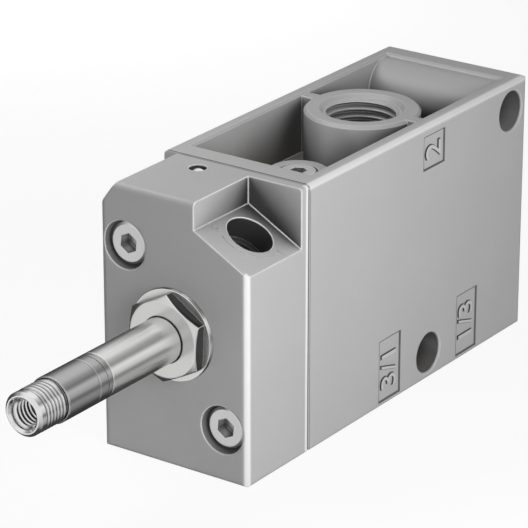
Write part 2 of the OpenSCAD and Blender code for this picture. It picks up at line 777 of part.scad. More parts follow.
// Socket head screw along X, head towards the front
module socket_screw(y, z) {
  x_head = x_cover_front + screw_sink;
  x_seat = x_head + screw_head_h;
  bevel = screw_bevel;
  difference() {
    union() {
      taper(x_head, x_head + bevel, screw_head_d / 2 - bevel, screw_head_d / 2, y, z);
      rod(x_head + bevel, x_seat, screw_head_d / 2, y, z);
      rod(x_seat - cut, x_seat + screw_len - bevel, screw_d / 2, y, z);
      taper(x_seat + screw_len - bevel, x_seat + screw_len, screw_d / 2, screw_d / 2 - bevel, y, z);
    }
    translate([x_head - cut, y, z]) rotate([5, 0, 0]) rotate([0, 90, 0])
      cylinder(d = screw_socket / cos(30), h = socket_depth + cut, $fn = 6);
  }
}

module cover_screws() color(steel) {
  socket_screw(screw_dy, upper_screw_z);
  socket_screw(-screw_dy, lower_screw_z);
}

// Armature tube group
module base_disc() color(steel) tube_x(x_hex, x_cover_front, base_disc_d / 2, hex_thread_d / 2 + fit);

// Gland: hexagon with a turned chamfer, and the thread that holds the tube's flange
module hex_gland() color(steel) difference() {
  corner_r = hex_af / 2 / cos(30);
  union() {
    intersection() {
      hex_x(x_hex_front, x_hex, hex_af, hex_turn);
      union() {
        taper(x_hex_front, x_hex_front + hex_bevel, hex_af / 2 - hex_face_in, corner_r + hex_overlap);
        rod(x_hex_front + hex_bevel, x_hex, corner_r + hex_overlap);
      }
    }
    rod(x_hex - fit, x_gland_end, hex_thread_d / 2);
  }
  rod(x_hex_front - cut, x_gland_end + cut, tube_r + fit);
  tube_x(x_gland_oring - gland_groove_w / 2, x_gland_oring + gland_groove_w / 2,
    hex_thread_d / 2 + cut, hex_thread_d / 2 - gland_groove_depth);
}

module gland_oring() color(black_rubber)
  oring_x(x_gland_oring, (hex_thread_d - gland_oring_d) / 2 + fit / 2, gland_oring_d / 2);

module armature_tube() color(steel) difference() {
  union() {
    rod(x_band + groove_v, x_hex_front - tube_relief, tube_r);
    rod(x_hex_front - tube_relief - fit, x_gland_end + flange_t, tube_r - tube_relief_depth);
    taper(x_band, x_band + groove_v, tube_r - groove_v, tube_r);
    rod(x_gland_end + fit, x_gland_end + flange_t, hex_thread_d / 2 - flange_step);
  }
  rod(x_band - cut, x_gland_end + flange_t + cut, tube_bore_r);
}

// Non-magnetic band between tube and core stop, with a turned groove in it
module tube_band() color(dark_steel) translate([0, 0, axis_z]) rotate([0, 90, 0]) {
  groove = x_band - band_groove_in;
  translate([0, 0, x_core]) rotate_extrude() polygon([
    [tube_bore_r + fit, 0], [tube_r - groove_v, 0], [tube_r, groove_v], [tube_r, groove - x_core - groove_v],
    [tube_r - groove_v, groove - x_core], [tube_r, groove - x_core + groove_v], [tube_r, band_len - groove_v],
    [tube_r - groove_v, band_len], [tube_bore_r + fit, band_len]
  ]);
}

// Core stop: closes the tube, carries the coil's thread and the exhaust thread
module core_stop() color(dark_steel) difference() {
  union() {
    rod(x_core, x_pole, tube_bore_r);
    rod(x_tip_thread, x_core - groove_v, tube_r);
    taper(x_core - groove_v, x_core, tube_r, tube_r - groove_v);
    rod(x_tip_end, x_tip_thread, tip_thread_d / 2);
    rod(x_tip + tip_bevel, x_tip_end, tip_end_d / 2);
    taper(x_tip, x_tip + tip_bevel, tip_end_d / 2 - tip_bevel, tip_end_d / 2);
    rod(x_pole, x_nose, nose_d / 2);
  }
  rod(x_tip - cut, x_tip + exhaust_thread_len, exhaust_thread_d / 2);
  taper(x_tip, x_tip + mouth_bevel, exhaust_thread_d / 2 + mouth_bevel, exhaust_thread_d / 2);
  rod(x_tip, x_nose + cut, exhaust_hole_d / 2);
  tube_x(x_pole - shading_len, x_pole + cut, shading_d / 2, shading_d / 2 - shading_w);
}

module shading_ring() color(copper)
  tube_x(x_pole - shading_len, x_pole - fit, shading_d / 2 - fit, shading_d / 2 - shading_w + fit);

module armature() color(dark_steel) difference() {
  union() {
    rod(x_armature_front + armature_bevel, x_armature_back - neck_len, armature_r);
    taper(x_armature_front, x_armature_front + armature_bevel, armature_r - armature_bevel, armature_r);
    rod(x_armature_back - neck_len, x_armature_back, armature_neck_d / 2);
  }
  rod(x_armature_front - cut, x_spring_seat, spring_hole_d / 2);
  rod(x_armature_back - pilot_pad_t, x_armature_back + cut, pilot_pad_d / 2);
  for (turn = [0, 180]) translate([0, 0, axis_z]) rotate([turn, 0, 0])
    span([x_armature_front - cut, -armature_slot_w / 2, armature_r - armature_slot_depth],
      [x_armature_back + cut, armature_slot_w / 2, armature_r + cut]);
}

module front_seal_pad() color(black_rubber) rod(x_spring_seat - pad_t, x_spring_seat, front_pad_d / 2);

module pilot_seal_pad() color(black_rubber)
  rod(x_armature_back - pilot_pad_t, x_armature_back, pilot_pad_d / 2 - fit);

module armature_spring() color(steel) translate([x_pole + spring_play, 0, axis_z]) rotate([0, 90, 0])
  coil(armature_spring_d, armature_wire, x_spring_seat - x_pole - 2 * spring_play, 9);

module pilot_nozzle() color(brass) difference() {
  union() {
    taper(x_pilot_seat, x_pilot_seat + nozzle_tip_len, nozzle_tip_d / 2, nozzle_stem_d / 2);
    rod(x_pilot_seat + nozzle_tip_len, x_chamber_back - nozzle_flange_t, nozzle_stem_d / 2);
    rod(x_chamber_back - nozzle_flange_t, x_nozzle_back, nozzle_d / 2);
  }
  rod(x_pilot_seat - cut, x_nozzle_back + cut, nozzle_bore_d / 2);
}

// Inserts in the body bore, from the front
module guide_bush() color(brass) difference() {
  rod(x_bore_step, x_guide_end, insert_r);
  rod(x_bore_step - cut, x_guide_end + cut, stem_d / 2 + fit);
  tube_x(x_guide_oring - insert_groove_w / 2, x_guide_oring + insert_groove_w / 2,
    insert_r + cut, insert_r - insert_oring_d - fit);
  rod(x_stem_seal - stem_groove_w / 2, x_stem_seal + stem_groove_w / 2, stem_d / 2 + stem_seal_d + 2 * fit);
}

module guide_oring() color(black_rubber)
  oring_x(x_guide_oring, insert_r - insert_oring_d / 2, insert_oring_d / 2);

module stem_seal() color(black_rubber)
  oring_x(x_stem_seal, stem_d / 2 + stem_seal_d / 2 + fit, stem_seal_d / 2);

// Spring ring that holds the inserts, open at the bottom
module bush_circlip() color(steel) difference() {
  r_out = piston_bore_d / 2 + circlip_depth - fit;
  tube_x(x_bore_step - circlip_t + fit, x_bore_step - fit, r_out, r_out - circlip_w);
  span([x_bore_step - circlip_t - cut, -circlip_gap / 2, axis_z - r_out - cut],
    [x_bore_step + cut, circlip_gap / 2, axis_z - r_out + circlip_w + cut]);
}

// Cage between two inserts with four round windows
module cage(x0, x1, x_window, window_d) {
  difference() {
    tube_x(x0, x1, insert_r, insert_r - cage_wall);
    translate([x_window, 0, axis_z]) for (a = [0, 90]) rotate([a, 0, 0])
      cylinder(d = window_d, h = seat_bore_d + 2 * cut, center = true);
  }
}

module exhaust_cage() color(brass) cage(x_guide_end, x_exhaust_seat, -x_port, passage_d);

module supply_cage() color(brass)
  cage(x_exhaust_seat + seat_len, x_supply_seat - seat_len, upper_port_dx / 2, supply_window_d);

// Seat ring: dir is -1 when its lip looks forward and 1 when it looks back
module seat_ring(x_face, dir) {
  x_other = x_face - dir * seat_len;
  difference() {
    union() {
      rod(x_face, x_other, insert_r);
      rod(x_face, x_face + dir * seat_lip, seat_hole_d / 2 + seat_rim);
    }
    rod(x_other - dir * cut, x_face + dir * (seat_lip + cut), seat_hole_d / 2);
    tube_x((x_face + x_other - insert_groove_w) / 2, (x_face + x_other + insert_groove_w) / 2,
      insert_r + cut, insert_r - insert_oring_d - fit);
  }
}

module exhaust_seat() color(brass) seat_ring(x_exhaust_seat, -1);
module supply_seat() color(brass) seat_ring(x_supply_seat, 1);

module exhaust_seat_oring() color(black_rubber)
  oring_x(x_exhaust_seat + seat_len / 2, insert_r - insert_oring_d / 2, insert_oring_d / 2);

module supply_seat_oring() color(black_rubber)
  oring_x(x_supply_seat - seat_len / 2, insert_r - insert_oring_d / 2, insert_oring_d / 2);

// Moving group: piston, stem and the two poppets
module pilot_piston() color(steel) difference() {
  rod(x_piston, x_piston_end, piston_r);
  tube_x(x_piston + piston_land, x_piston_end - piston_land, piston_r + cut, piston_r - piston_groove_d);
  rod(x_piston_end - stem_in_piston, x_piston_end + cut, stem_d / 2 + fit);
}

// Lip seal of the piston: its lip opens towards the cover
module piston_seal() color(black_rubber)
translate([x_piston + piston_land + fit, 0, axis_z]) rotate([0, 90, 0]) {
  r_in = piston_r - piston_groove_d + fit;
  w = piston_len - 2 * piston_land - 2 * fit;
  rotate_extrude() polygon([
    [r_in, lip_t], [r_in + 2 * lip_t, lip_t], [r_in + 3 * lip_t, w / 2], [piston_r + free - seal_gap - lip_t, 0],
    [piston_r + free - seal_gap, lip_t / 2], [piston_r - lip_t / 2, w], [r_in, w]
  ]);
}

module valve_stem() color(steel) {
  rod(x_piston_end - stem_in_piston, x_exhaust_poppet, stem_d / 2);
  rod(x_exhaust_poppet - fit, x_stem_clip, stem_neck_d / 2);
  rod(x_stem_clip, x_stem_clip + stem_clip_t, stem_neck_d / 2 - stem_clip_depth);
  rod(x_stem_clip + stem_clip_t, x_stem_end, stem_neck_d / 2);
}

module poppet(x0) tube_x(x0, x0 + poppet_len, poppet_d / 2, stem_neck_d / 2);

module exhaust_poppet() color(black_rubber) poppet(x_exhaust_poppet);
module supply_poppet() color(black_rubber) poppet(x_supply_poppet);

module stem_sleeve() color(brass)
  tube_x(x_exhaust_poppet + poppet_len, x_supply_poppet, stem_neck_d / 2 + sleeve_wall, stem_neck_d / 2);

module stem_circlip() color(steel) difference() {
  r_in = stem_neck_d / 2 - stem_clip_depth;
  tube_x(x_stem_clip, x_stem_clip + stem_clip_t, r_in + stem_clip_w, r_in);
  span([x_stem_clip - cut, -stem_clip_gap / 2, axis_z - stem_neck_d],
    [x_stem_clip + stem_clip_t + cut, stem_clip_gap / 2, axis_z]);
}

module return_spring() color(steel) translate([x_stem_clip + spring_play, 0, axis_z]) rotate([0, 90, 0])
  coil(return_spring_d, return_wire, x_pocket_end - x_stem_clip - 2 * spring_play, 7);

// Manual override in the sloping bore
module override_clip() color(dark_steel)
on_override_axis() translate([0, 0, u_head_top + 2 * fit]) difference() {
  cylinder(r = override_bore_d / 2 + clip_grip, h = clip_t);
  translate([0, 0, -cut]) cylinder(d = override_head_d - 2 * clip_lip, h = clip_t + 2 * cut);
}

module override_pin() color(dark_steel) on_override_axis() difference() {
  union() {
    translate([0, 0, u_head]) cylinder(d = override_head_d, h = head_t);
    translate([0, 0, u_nose + nose_len])
      cylinder(d = override_shank_d, h = u_head - u_nose - nose_len + fit);
    translate([0, 0, u_nose]) cylinder(d1 = override_nose_d, d2 = override_shank_d, h = nose_len);
  }
  translate([0, 0, u_head_top]) cube([override_slot, 2 * override_head_d, 2 * slot_depth], center = true);
  translate([0, 0, u_override_oring - override_groove_w / 2]) difference() {
    cylinder(d = 2 * override_shank_d, h = override_groove_w);
    translate([0, 0, -cut])
      cylinder(r = override_shank_d / 2 - override_groove_depth, h = override_groove_w + 2 * cut);
  }
}

module override_oring() color(black_rubber) on_override_axis() translate([0, 0, u_override_oring]) {
  middle_r = override_shank_d / 2 - override_groove_depth + (override_oring_d + seal_gap) / 2;
  rotate_extrude() translate([middle_r, 0]) circle(d = override_oring_d, $fn = 24);
}

module override_washer() color(steel) on_override_axis() translate([0, 0, u_washer]) difference() {
  cylinder(d = override_head_d, h = washer_t - washer_play);
  translate([0, 0, -cut]) cylinder(d = override_shank_d + 2 * fit, h = washer_t + 2 * cut);
}

module override_spring() color(steel) on_override_axis() translate([0, 0, u_land + spring_play])
  coil((override_bore_d + override_shank_d) / 2, override_wire, u_washer - u_land - 2 * spring_play, 3.8);

valve_body();
pilot_cover();
cover_gasket();
cover_screws();
channel_balls();
pocket_plug();
plug_washer();
filter_disc();
base_disc();
hex_gland();
gland_oring();
armature_tube();
tube_band();
core_stop();
shading_ring();
armature();
front_seal_pad();
pilot_seal_pad();
armature_spring();
pilot_nozzle();
guide_bush();
guide_oring();
stem_seal();
bush_circlip();
exhaust_cage();
exhaust_seat();
exhaust_seat_oring();
supply_cage();
supply_seat();
supply_seat_oring();
pilot_piston();
piston_seal();
valve_stem();
exhaust_poppet();
stem_sleeve();
supply_poppet();
stem_circlip();
return_spring();
override_clip();
override_pin();
override_oring();
override_washer();
override_spring();
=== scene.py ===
# %% [markdown]
# ## A pneumatic valve in two metals
# The real valve is a matt die-cast block with a bright turned tube screwed into its front.
# The frame below already holds every solid at its true size, so this lesson does three things:
# it gives each solid its finish, it makes the threads, springs and numbers that the solids leave plain,
# and it sets up a small studio with the camera where the photographer stood.

# %% Load the frame
import json
import math

import bmesh
import bpy
from mathutils import Matrix, Vector


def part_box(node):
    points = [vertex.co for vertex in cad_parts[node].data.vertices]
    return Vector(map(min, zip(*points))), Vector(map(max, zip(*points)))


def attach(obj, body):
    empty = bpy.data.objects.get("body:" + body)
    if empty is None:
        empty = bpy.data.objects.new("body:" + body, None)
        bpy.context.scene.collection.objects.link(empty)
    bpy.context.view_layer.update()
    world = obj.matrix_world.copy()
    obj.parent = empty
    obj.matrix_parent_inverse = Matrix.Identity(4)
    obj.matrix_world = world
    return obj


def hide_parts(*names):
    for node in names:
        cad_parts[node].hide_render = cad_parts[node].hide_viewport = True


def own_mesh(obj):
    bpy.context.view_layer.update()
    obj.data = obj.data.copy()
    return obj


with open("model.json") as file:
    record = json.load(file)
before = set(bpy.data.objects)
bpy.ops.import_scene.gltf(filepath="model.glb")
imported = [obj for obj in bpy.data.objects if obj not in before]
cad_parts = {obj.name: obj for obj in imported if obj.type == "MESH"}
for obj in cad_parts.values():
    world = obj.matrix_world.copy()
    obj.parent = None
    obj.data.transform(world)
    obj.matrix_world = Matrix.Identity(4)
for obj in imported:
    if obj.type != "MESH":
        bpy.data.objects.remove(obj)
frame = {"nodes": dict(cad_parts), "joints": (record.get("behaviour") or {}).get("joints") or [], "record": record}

MM = 0.001
scene = bpy.context.scene
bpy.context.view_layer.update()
mounts = {mount["name"]: mount for mount in frame["record"]["mounts"]}
axis_z = mounts["coil_tube"]["pos_m"][2]
body_low, body_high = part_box("valve_body")
cover_low, cover_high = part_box("pilot_cover")
print("body", [round(v / MM, 2) for v in body_high - body_low], "valve axis at", axis_z / MM)

# %% [markdown]
# ### The camera
# A catalogue picture is taken with a long lens from far away, so that parallel edges stay nearly parallel.
# The camera looks down by about 22 degrees onto the corner where the pilot cover meets the near side.
# Azimuth 0 would look along +Y; a negative azimuth walks round towards the tube.

# %% Camera
CAMERA_AZIMUTH = -54.7
CAMERA_ELEVATION = 22.1
CAMERA_DISTANCE = 528.7 * MM
CAMERA_LENS = 221.2
CAMERA_AIM = Vector((-27.9, 0, 26.7)) * MM


def direction(azimuth, elevation):
    """Unit vector from the object towards a place seen at this azimuth and elevation."""
    a, e = math.radians(azimuth), math.radians(elevation)
    return Vector((math.sin(a) * math.cos(e), -math.cos(a) * math.cos(e), math.sin(e)))


def aim_at(thing, azimuth, elevation, distance, target):
    """Put a camera or a lamp at a distance from the target, looking at it."""
    back = direction(azimuth, elevation)
    thing.location = target + back * distance
    thing.rotation_euler = (-back).to_track_quat("-Z", "Y").to_euler()
    scene.collection.objects.link(thing)


camera_data = bpy.data.cameras.new("camera")
camera_data.lens = CAMERA_LENS
camera_data.sensor_width = 36
camera_data.clip_start = 10 * MM
camera_data.clip_end = 20
camera = bpy.data.objects.new("camera", camera_data)
aim_at(camera, CAMERA_AZIMUTH, CAMERA_ELEVATION, CAMERA_DISTANCE, CAMERA_AIM)
scene.camera = camera
print("camera at", [round(v / MM) for v in camera.location])

# %% [markdown]
# ### The lamps
# Two soft boxes light the block: one low off the near side, and a small one over the cover from the far
# side. A third lights only the rear and the far side, so that the block looks alive from behind as well.
# The near side is then the lightest face, the top a middle grey that fades to the rear, and the cover's
# front and the notch are the darkest, which is what makes the block read as a block.

# %% Lamps
# Each box has its azimuth and elevation in degrees, its distance and width in m, and its power in W.
scene.view_settings.view_transform = "Standard"


def softbox(name, azimuth, elevation, distance, width, power, target):
    """A square area lamp that looks at its target and doesn't show in the metal."""
    data = bpy.data.lights.new(name, "AREA")
    data.shape = "SQUARE"
    data.size = width
    data.energy = power
    lamp = bpy.data.objects.new(name, data)
    lamp.visible_glossy = False
    aim_at(lamp, azimuth, elevation, distance, target)
    print(name, power, "W")


cover_top = Vector((cover_low.x, 0, cover_high.z))
softbox("near_side_box", -21, 20, 0.18, 0.12, 0.29, CAMERA_AIM)
softbox("top_box", 180, 50, 0.10, 0.06, 0.067, cover_top)
softbox("rear_box", 138, 6, 0.25, 0.15, 0.30, CAMERA_AIM)

# %% [markdown]
# ### Helpers for shader nodes
# The studio and the finishes are drawn with shader nodes. Each helper here adds one node to a tree, links
# or sets what it is given, and hands back its output, so that a look can be read like a formula.

# %% Helpers that add one node
def grey(level):
    """A neutral colour."""
    return (level, level, level)


def feed(tree, slot, value):
    """Link a socket into a slot, or set the slot to a plain value; a plain colour is three numbers."""
    if isinstance(value, bpy.types.NodeSocket):
        tree.links.new(value, slot)
    elif slot.type == "RGBA":
        slot.default_value = (*value, 1)
    else:
        slot.default_value = value


def math_node(tree, operation, *operands, clamp=False):
    """A Math node whose operands are sockets or plain numbers."""
    node = tree.nodes.new("ShaderNodeMath")
    node.operation = operation
    node.use_clamp = clamp
    for slot, value in zip(node.inputs, operands):
        feed(tree, slot, value)
    return node.outputs[0]


def vector_node(tree, operation, *operands):
    """A Vector Math node whose operands are sockets."""
    node = tree.nodes.new("ShaderNodeVectorMath")
    node.operation = operation
    for slot, value in zip(node.inputs, operands):
        feed(tree, slot, value)
    return node.outputs["Value" if operation in ("LENGTH", "DOT_PRODUCT") else "Vector"]


def parts_of(tree, vector):
    """The X, Y and Z outputs of a vector."""
    node = tree.nodes.new("ShaderNodeSeparateXYZ")
    feed(tree, node.inputs["Vector"], vector)
    return node.outputs


def object_place(tree):
    """Where a point lies in its piece's own coordinates."""
    return tree.nodes.new("ShaderNodeTexCoord").outputs["Object"]


# %% Helpers that map and mix
def map_range(tree, value, from_min, from_max, to_min=0, to_max=1, smooth=False):
    """A Map Range node from one pair of numbers to another."""
    node = tree.nodes.new("ShaderNodeMapRange")
    node.interpolation_type = "SMOOTHSTEP" if smooth else "LINEAR"
    for slot, operand in zip(node.inputs, (value, from_min, from_max, to_min, to_max)):
        feed(tree, slot, operand)
    return node.outputs["Result"]


def mix_colour(tree, factor, first, second):
    """A colour Mix node: factor 0 shows the first colour and factor 1 the second."""
    node = tree.nodes.new("ShaderNodeMix")
    node.data_type = "RGBA"
    for label, value in (("Factor", factor), ("A", first), ("B", second)):
        feed(tree, node.inputs[label], value)
    return node.outputs["Result"]


def mix_shader(tree, factor, first, second):
    """A Mix Shader node: factor 0 shows the first shader and factor 1 the second."""
    node = tree.nodes.new("ShaderNodeMixShader")
    for slot, value in zip(node.inputs, (factor, first, second)):
        feed(tree, slot, value)
    return node.outputs[0]


def group_node(tree, group, values=()):
    """A node that stands for a group, with some of its inputs set."""
    node = tree.nodes.new("ShaderNodeGroup")
    node.node_tree = group
    for label, value in dict(values).items():
        feed(tree, node.inputs[label], value)
    return node.outputs


# %% [markdown]
# ### The white ground and the grey cards
# The white ground comes from the world and the floor as the camera sees them, and adds no light. The
# rays that light the block get only a weak ambient grey from the world.
# Bright metal shows what stands round it, so a photographer of turned steel puts grey cards in front of
# the white ground. Here mirrored rays see that ground too, as it is in front of the valve, and behind
# it through long cards laid round the tube's axis. They give the steel its streaks of light and dark.

# %% The cards round the axis
# Each card is an angle round the tube's axis, from the near side upwards, and the grey that shows there.
CARDS = ((-150, 0.06), (-75, 0.06), (-52, 0.42), (-33, 0.52), (-15, 0.20), (3, 0.78), (24, 0.95), (45, 0.36),
         (65, 0.60), (85, 0.98), (105, 1.0), (125, 0.92), (148, 0.38), (170, 0.08))
FRONT_GROUND = 0.92
FRONT_ENDS = -0.7
CARDS_BEGIN = -0.45
AMBIENT = 0.10


def card_stop(angle):
    """An angle round the axis as a place between 0 and 1."""
    return (angle + 180) / 360


world = bpy.data.worlds.new("studio")
scene.world = world
world.use_nodes = True
sky = world.node_tree
sky.nodes.clear()
toward = parts_of(sky, sky.nodes.new("ShaderNodeTexCoord").outputs["Generated"])
near_side = math_node(sky, "MULTIPLY", toward["Y"], -1)
round_axis = math_node(sky, "ARCTAN2", toward["Z"], near_side)
cards = sky.nodes.new("ShaderNodeValToRGB")
cards.color_ramp.interpolation = "EASE"
stops = cards.color_ramp.elements
# A ramp starts with two stops at its ends, and new ones are sorted in between.
for angle, _ in CARDS[1:-1]:
    stops.new(card_stop(angle))
for stop, (angle, level) in zip(stops, CARDS):
    stop.position = card_stop(angle)
    stop.color = (*grey(level), 1)
feed(sky, cards.inputs["Fac"], math_node(sky, "MULTIPLY_ADD", round_axis, 1 / math.tau, 0.5))
behind = map_range(sky, toward["X"], FRONT_ENDS, CARDS_BEGIN, smooth=True)
studio_light = mix_colour(sky, behind, grey(FRONT_GROUND), cards.outputs["Color"])
print("cards", len(stops))


# %% What each kind of ray sees
def background(colour, strength=1):
    """Light that comes from all round."""
    node = sky.nodes.new("ShaderNodeBackground")
    feed(sky, node.inputs["Color"], colour)
    feed(sky, node.inputs["Strength"], strength)
    return node.outputs[0]


ray = sky.nodes.new("ShaderNodeLightPath")
ambient = background(grey(1), AMBIENT)
mirrored = mix_shader(sky, ray.outputs["Is Glossy Ray"], ambient, background(studio_light))
through = math_node(sky, "MAXIMUM", ray.outputs["Is Camera Ray"], ray.outputs["Is Transmission Ray"])
sky_output = sky.nodes.new("ShaderNodeOutputWorld")
feed(sky, sky_output.inputs["Surface"], mix_shader(sky, through, mirrored, background(grey(1))))
print("sky nodes", len(sky.nodes))

# %% The floor
FLOOR_SIZE = 3
FLOOR_DROP = 0.05 * MM
FLOOR_GREY = 0.86
FLOOR_GLOW = 0.9

floor_mesh = bmesh.new()
below_base = Matrix.Translation((0, 0, -FLOOR_DROP))
bmesh.ops.create_grid(floor_mesh, x_segments=1, y_segments=1, size=FLOOR_SIZE, matrix=below_base)
floor_data = bpy.data.meshes.new("floor")
floor_mesh.to_mesh(floor_data)
floor_mesh.free()
floor = bpy.data.objects.new("floor", floor_data)
scene.collection.objects.link(floor)
floor.visible_glossy = False

floor_paint = bpy.data.materials.new("floor_paint")
floor_paint.use_nodes = True
tree = floor_paint.node_tree
matt_white = tree.nodes["Principled BSDF"]
feed(tree, matt_white.inputs["Base Color"], grey(FLOOR_GREY))
feed(tree, matt_white.inputs["Roughness"], 0.9)
feed(tree, matt_white.inputs["Specular IOR Level"], 0.1)
ray = tree.nodes.new("ShaderNodeLightPath")
glow_share = math_node(tree, "MULTIPLY", ray.outputs["Is Camera Ray"], FLOOR_GLOW)
glow = tree.nodes.new("ShaderNodeEmission")
feed(tree, glow.inputs["Color"], grey(1))
floor_look = mix_shader(tree, glow_share, matt_white.outputs[0], glow.outputs[0])
feed(tree, tree.nodes["Material Output"].inputs["Surface"], floor_look)
floor_data.materials.append(floor_paint)
print("floor", round(FLOOR_DROP / MM, 2), "mm below the base")

# %% [markdown]
# ### Effects that several finishes share
# Tumbled castings and turned parts have their sharp corners rubbed bright, and a painted highlight is laid
# along the same edges. A Bevel node looks round each edge, and where its rounded normal leaves the flat one,
# the metal gets lighter. Recesses and narrow gaps get painted shade, which darkens their colour. An Ambient
# Occlusion node tells how much of the sky a place has lost.
# Groups give out only values and normals, so that each material keeps its own shader.

# %% Rubbed edges with a painted highlight
FLOAT = "NodeSocketFloat"
VECTOR = "NodeSocketVector"
BENT_LITTLE = 0.03
BENT_FULLY = 0.10


def new_group(name, inputs, outputs):
    """An empty group: inputs are name, kind and start value, outputs are name and kind."""
    group = bpy.data.node_groups.new(name, "ShaderNodeTree")
    for label, kind, start in inputs:
        socket = group.interface.new_socket(name=label, in_out="INPUT", socket_type=kind)
        socket.default_value = start
    for label, kind in outputs:
        group.interface.new_socket(name=label, in_out="OUTPUT", socket_type=kind)
    given = group.nodes.new("NodeGroupInput").outputs
    result = group.nodes.new("NodeGroupOutput").inputs
    print("group", name, "gives", [label for label, _ in outputs])
    return group, given, result


# The mask lightens the colour at every edge: rubbed metal with a painted highlight laid on it.
edge_highlight_group, given, result = new_group(
    "rubbed_and_highlit_edges", [("Radius", FLOAT, 0.4 * MM)], [("Mask", FLOAT), ("Normal", VECTOR)])
rounded = edge_highlight_group.nodes.new("ShaderNodeBevel")
rounded.samples = 8
feed(edge_highlight_group, rounded.inputs["Radius"], given["Radius"])
surface = edge_highlight_group.nodes.new("ShaderNodeNewGeometry")
agree = vector_node(edge_highlight_group, "DOT_PRODUCT", rounded.outputs["Normal"], surface.outputs["Normal"])
bent = math_node(edge_highlight_group, "SUBTRACT", 1, agree)
feed(edge_highlight_group, result["Mask"], map_range(edge_highlight_group, bent, BENT_LITTLE, BENT_FULLY))
feed(edge_highlight_group, result["Normal"], rounded.outputs["Normal"])

# %% Painted shade in the recesses and joints
GAP_START = 0.36
painted_shade_group, given, result = new_group(
    "painted_recess_shade",
    [("Reach", FLOAT, 14 * MM), ("Strength", FLOAT, 1.6), ("Start", FLOAT, 0),
     ("Gap Reach", FLOAT, 0.8 * MM), ("Gap Strength", FLOAT, 2.6)],
    [("Mask", FLOAT), ("Gap", FLOAT)])


def closeness(reach, strength, own_piece_only, start):
    """How shut in a place is: 0 until the share start of its sky is shut off, and 1 deep in a hollow."""
    open_sky = painted_shade_group.nodes.new("ShaderNodeAmbientOcclusion")
    open_sky.samples = 16
    open_sky.only_local = own_piece_only
    feed(painted_shade_group, open_sky.inputs["Distance"], reach)
    closed = math_node(painted_shade_group, "SUBTRACT", 1, open_sky.outputs["AO"])
    beyond_start = math_node(painted_shade_group, "SUBTRACT", closed, start)
    return math_node(painted_shade_group, "MULTIPLY", beyond_start, strength, clamp=True)


# Both masks paint shade: into the piece's own hollows, and into joints between pieces.
hollow = closeness(given["Reach"], given["Strength"], True, given["Start"])
gap = closeness(given["Gap Reach"], given["Gap Strength"], False, GAP_START)
feed(painted_shade_group, result["Mask"], math_node(painted_shade_group, "MAXIMUM", hollow, gap))
feed(painted_shade_group, result["Gap"], gap)

# %% [markdown]
# ### Effects at a known place
# Some marks belong to a place on the block and not to its form: painted shade darkens the walls of a
# drilled hole, a painted shade line follows the rim of a number field, and the block's outer edges on the
# near side, rounded too wide for the Bevel node, get a painted highlight. These three groups measure from
# the point's own coordinates whether it lies in such a place.

# %% Inside one of two drilled holes
drilled_group, given, result = new_group(
    "drilled_places",
    [("First", VECTOR, (0, 0, 0)), ("Second", VECTOR, (0, 0, 0)), ("Axis", VECTOR, (0, 1, 0)),
     ("Radius", FLOAT, 3.6 * MM)],
    [("Mask", FLOAT)])
place = object_place(drilled_group)
inside_hole = []
for label in ("First", "Second"):
    offset = vector_node(drilled_group, "SUBTRACT", place, given[label])
    lengthwise = vector_node(drilled_group, "PROJECT", offset, given["Axis"])
    across = vector_node(drilled_group, "SUBTRACT", offset, lengthwise)
    off_axis = vector_node(drilled_group, "LENGTH", across)
    inside_hole.append(math_node(drilled_group, "LESS_THAN", off_axis, given["Radius"]))
feed(drilled_group, result["Mask"], math_node(drilled_group, "MAXIMUM", *inside_hole))

# %% Painted shade line round a sunk field
# Its mask lays a painted shade line round the rim of a sunk field.
rim_shade_group, given, result = new_group(
    "field_rim_shade",
    [("Middle", VECTOR, (0, 0, 0)), ("Half Size", VECTOR, (0, 0, 0)), ("Line", FLOAT, 0.14 * MM)],
    [("Mask", FLOAT)])
off_middle = vector_node(rim_shade_group, "SUBTRACT", object_place(rim_shade_group), given["Middle"])
one_corner = vector_node(rim_shade_group, "ABSOLUTE", off_middle)
past_side = parts_of(rim_shade_group, vector_node(rim_shade_group, "SUBTRACT", one_corner, given["Half Size"]))
past_rim = math_node(rim_shade_group, "MAXIMUM", past_side["X"], past_side["Z"])
on_line = math_node(rim_shade_group, "LESS_THAN", math_node(rim_shade_group, "ABSOLUTE", past_rim), given["Line"])
at_face = math_node(rim_shade_group, "LESS_THAN", past_side["Y"], 0)
feed(rim_shade_group, result["Mask"], math_node(rim_shade_group, "MULTIPLY", on_line, at_face))

# %% Painted highlight on the rounded edges of the block's near side
# A place counts as edge when it is near two outer faces at once, and the mask fades over a short way.
EDGE_FADE = 0.3 * MM
# The mask is a painted highlight on the rounded edges of the near side.
edge_band_highlight_group, given, result = new_group(
    "near_edge_highlights",
    [("Middle", VECTOR, (0, 0, 0)), ("Half Size", VECTOR, (0, 0, 0)),
     ("Upright", FLOAT, 0), ("Long", FLOAT, 0), ("Lowest", FLOAT, -1)],
    [("Mask", FLOAT)])
from_middle = vector_node(edge_band_highlight_group, "SUBTRACT", object_place(edge_band_highlight_group), given["Middle"])
one_corner = vector_node(edge_band_highlight_group, "ABSOLUTE", from_middle)
inwards = parts_of(edge_band_highlight_group, vector_node(edge_band_highlight_group, "SUBTRACT", given["Half Size"], one_corner))
masks = []
for label, (one, other) in {"Upright": ("X", "Y"), "Long": ("Y", "Z")}.items():
    nearness = math_node(edge_band_highlight_group, "MAXIMUM", inwards[one], inwards[other])
    left = math_node(edge_band_highlight_group, "SUBTRACT", given[label], nearness)
    masks.append(math_node(edge_band_highlight_group, "DIVIDE", left, EDGE_FADE, clamp=True))
either = math_node(edge_band_highlight_group, "MAXIMUM", *masks)
side = parts_of(edge_band_highlight_group, from_middle)
upper = math_node(edge_band_highlight_group, "GREATER_THAN", side["Z"], given["Lowest"])
near = math_node(edge_band_highlight_group, "LESS_THAN", side["Y"], 0)
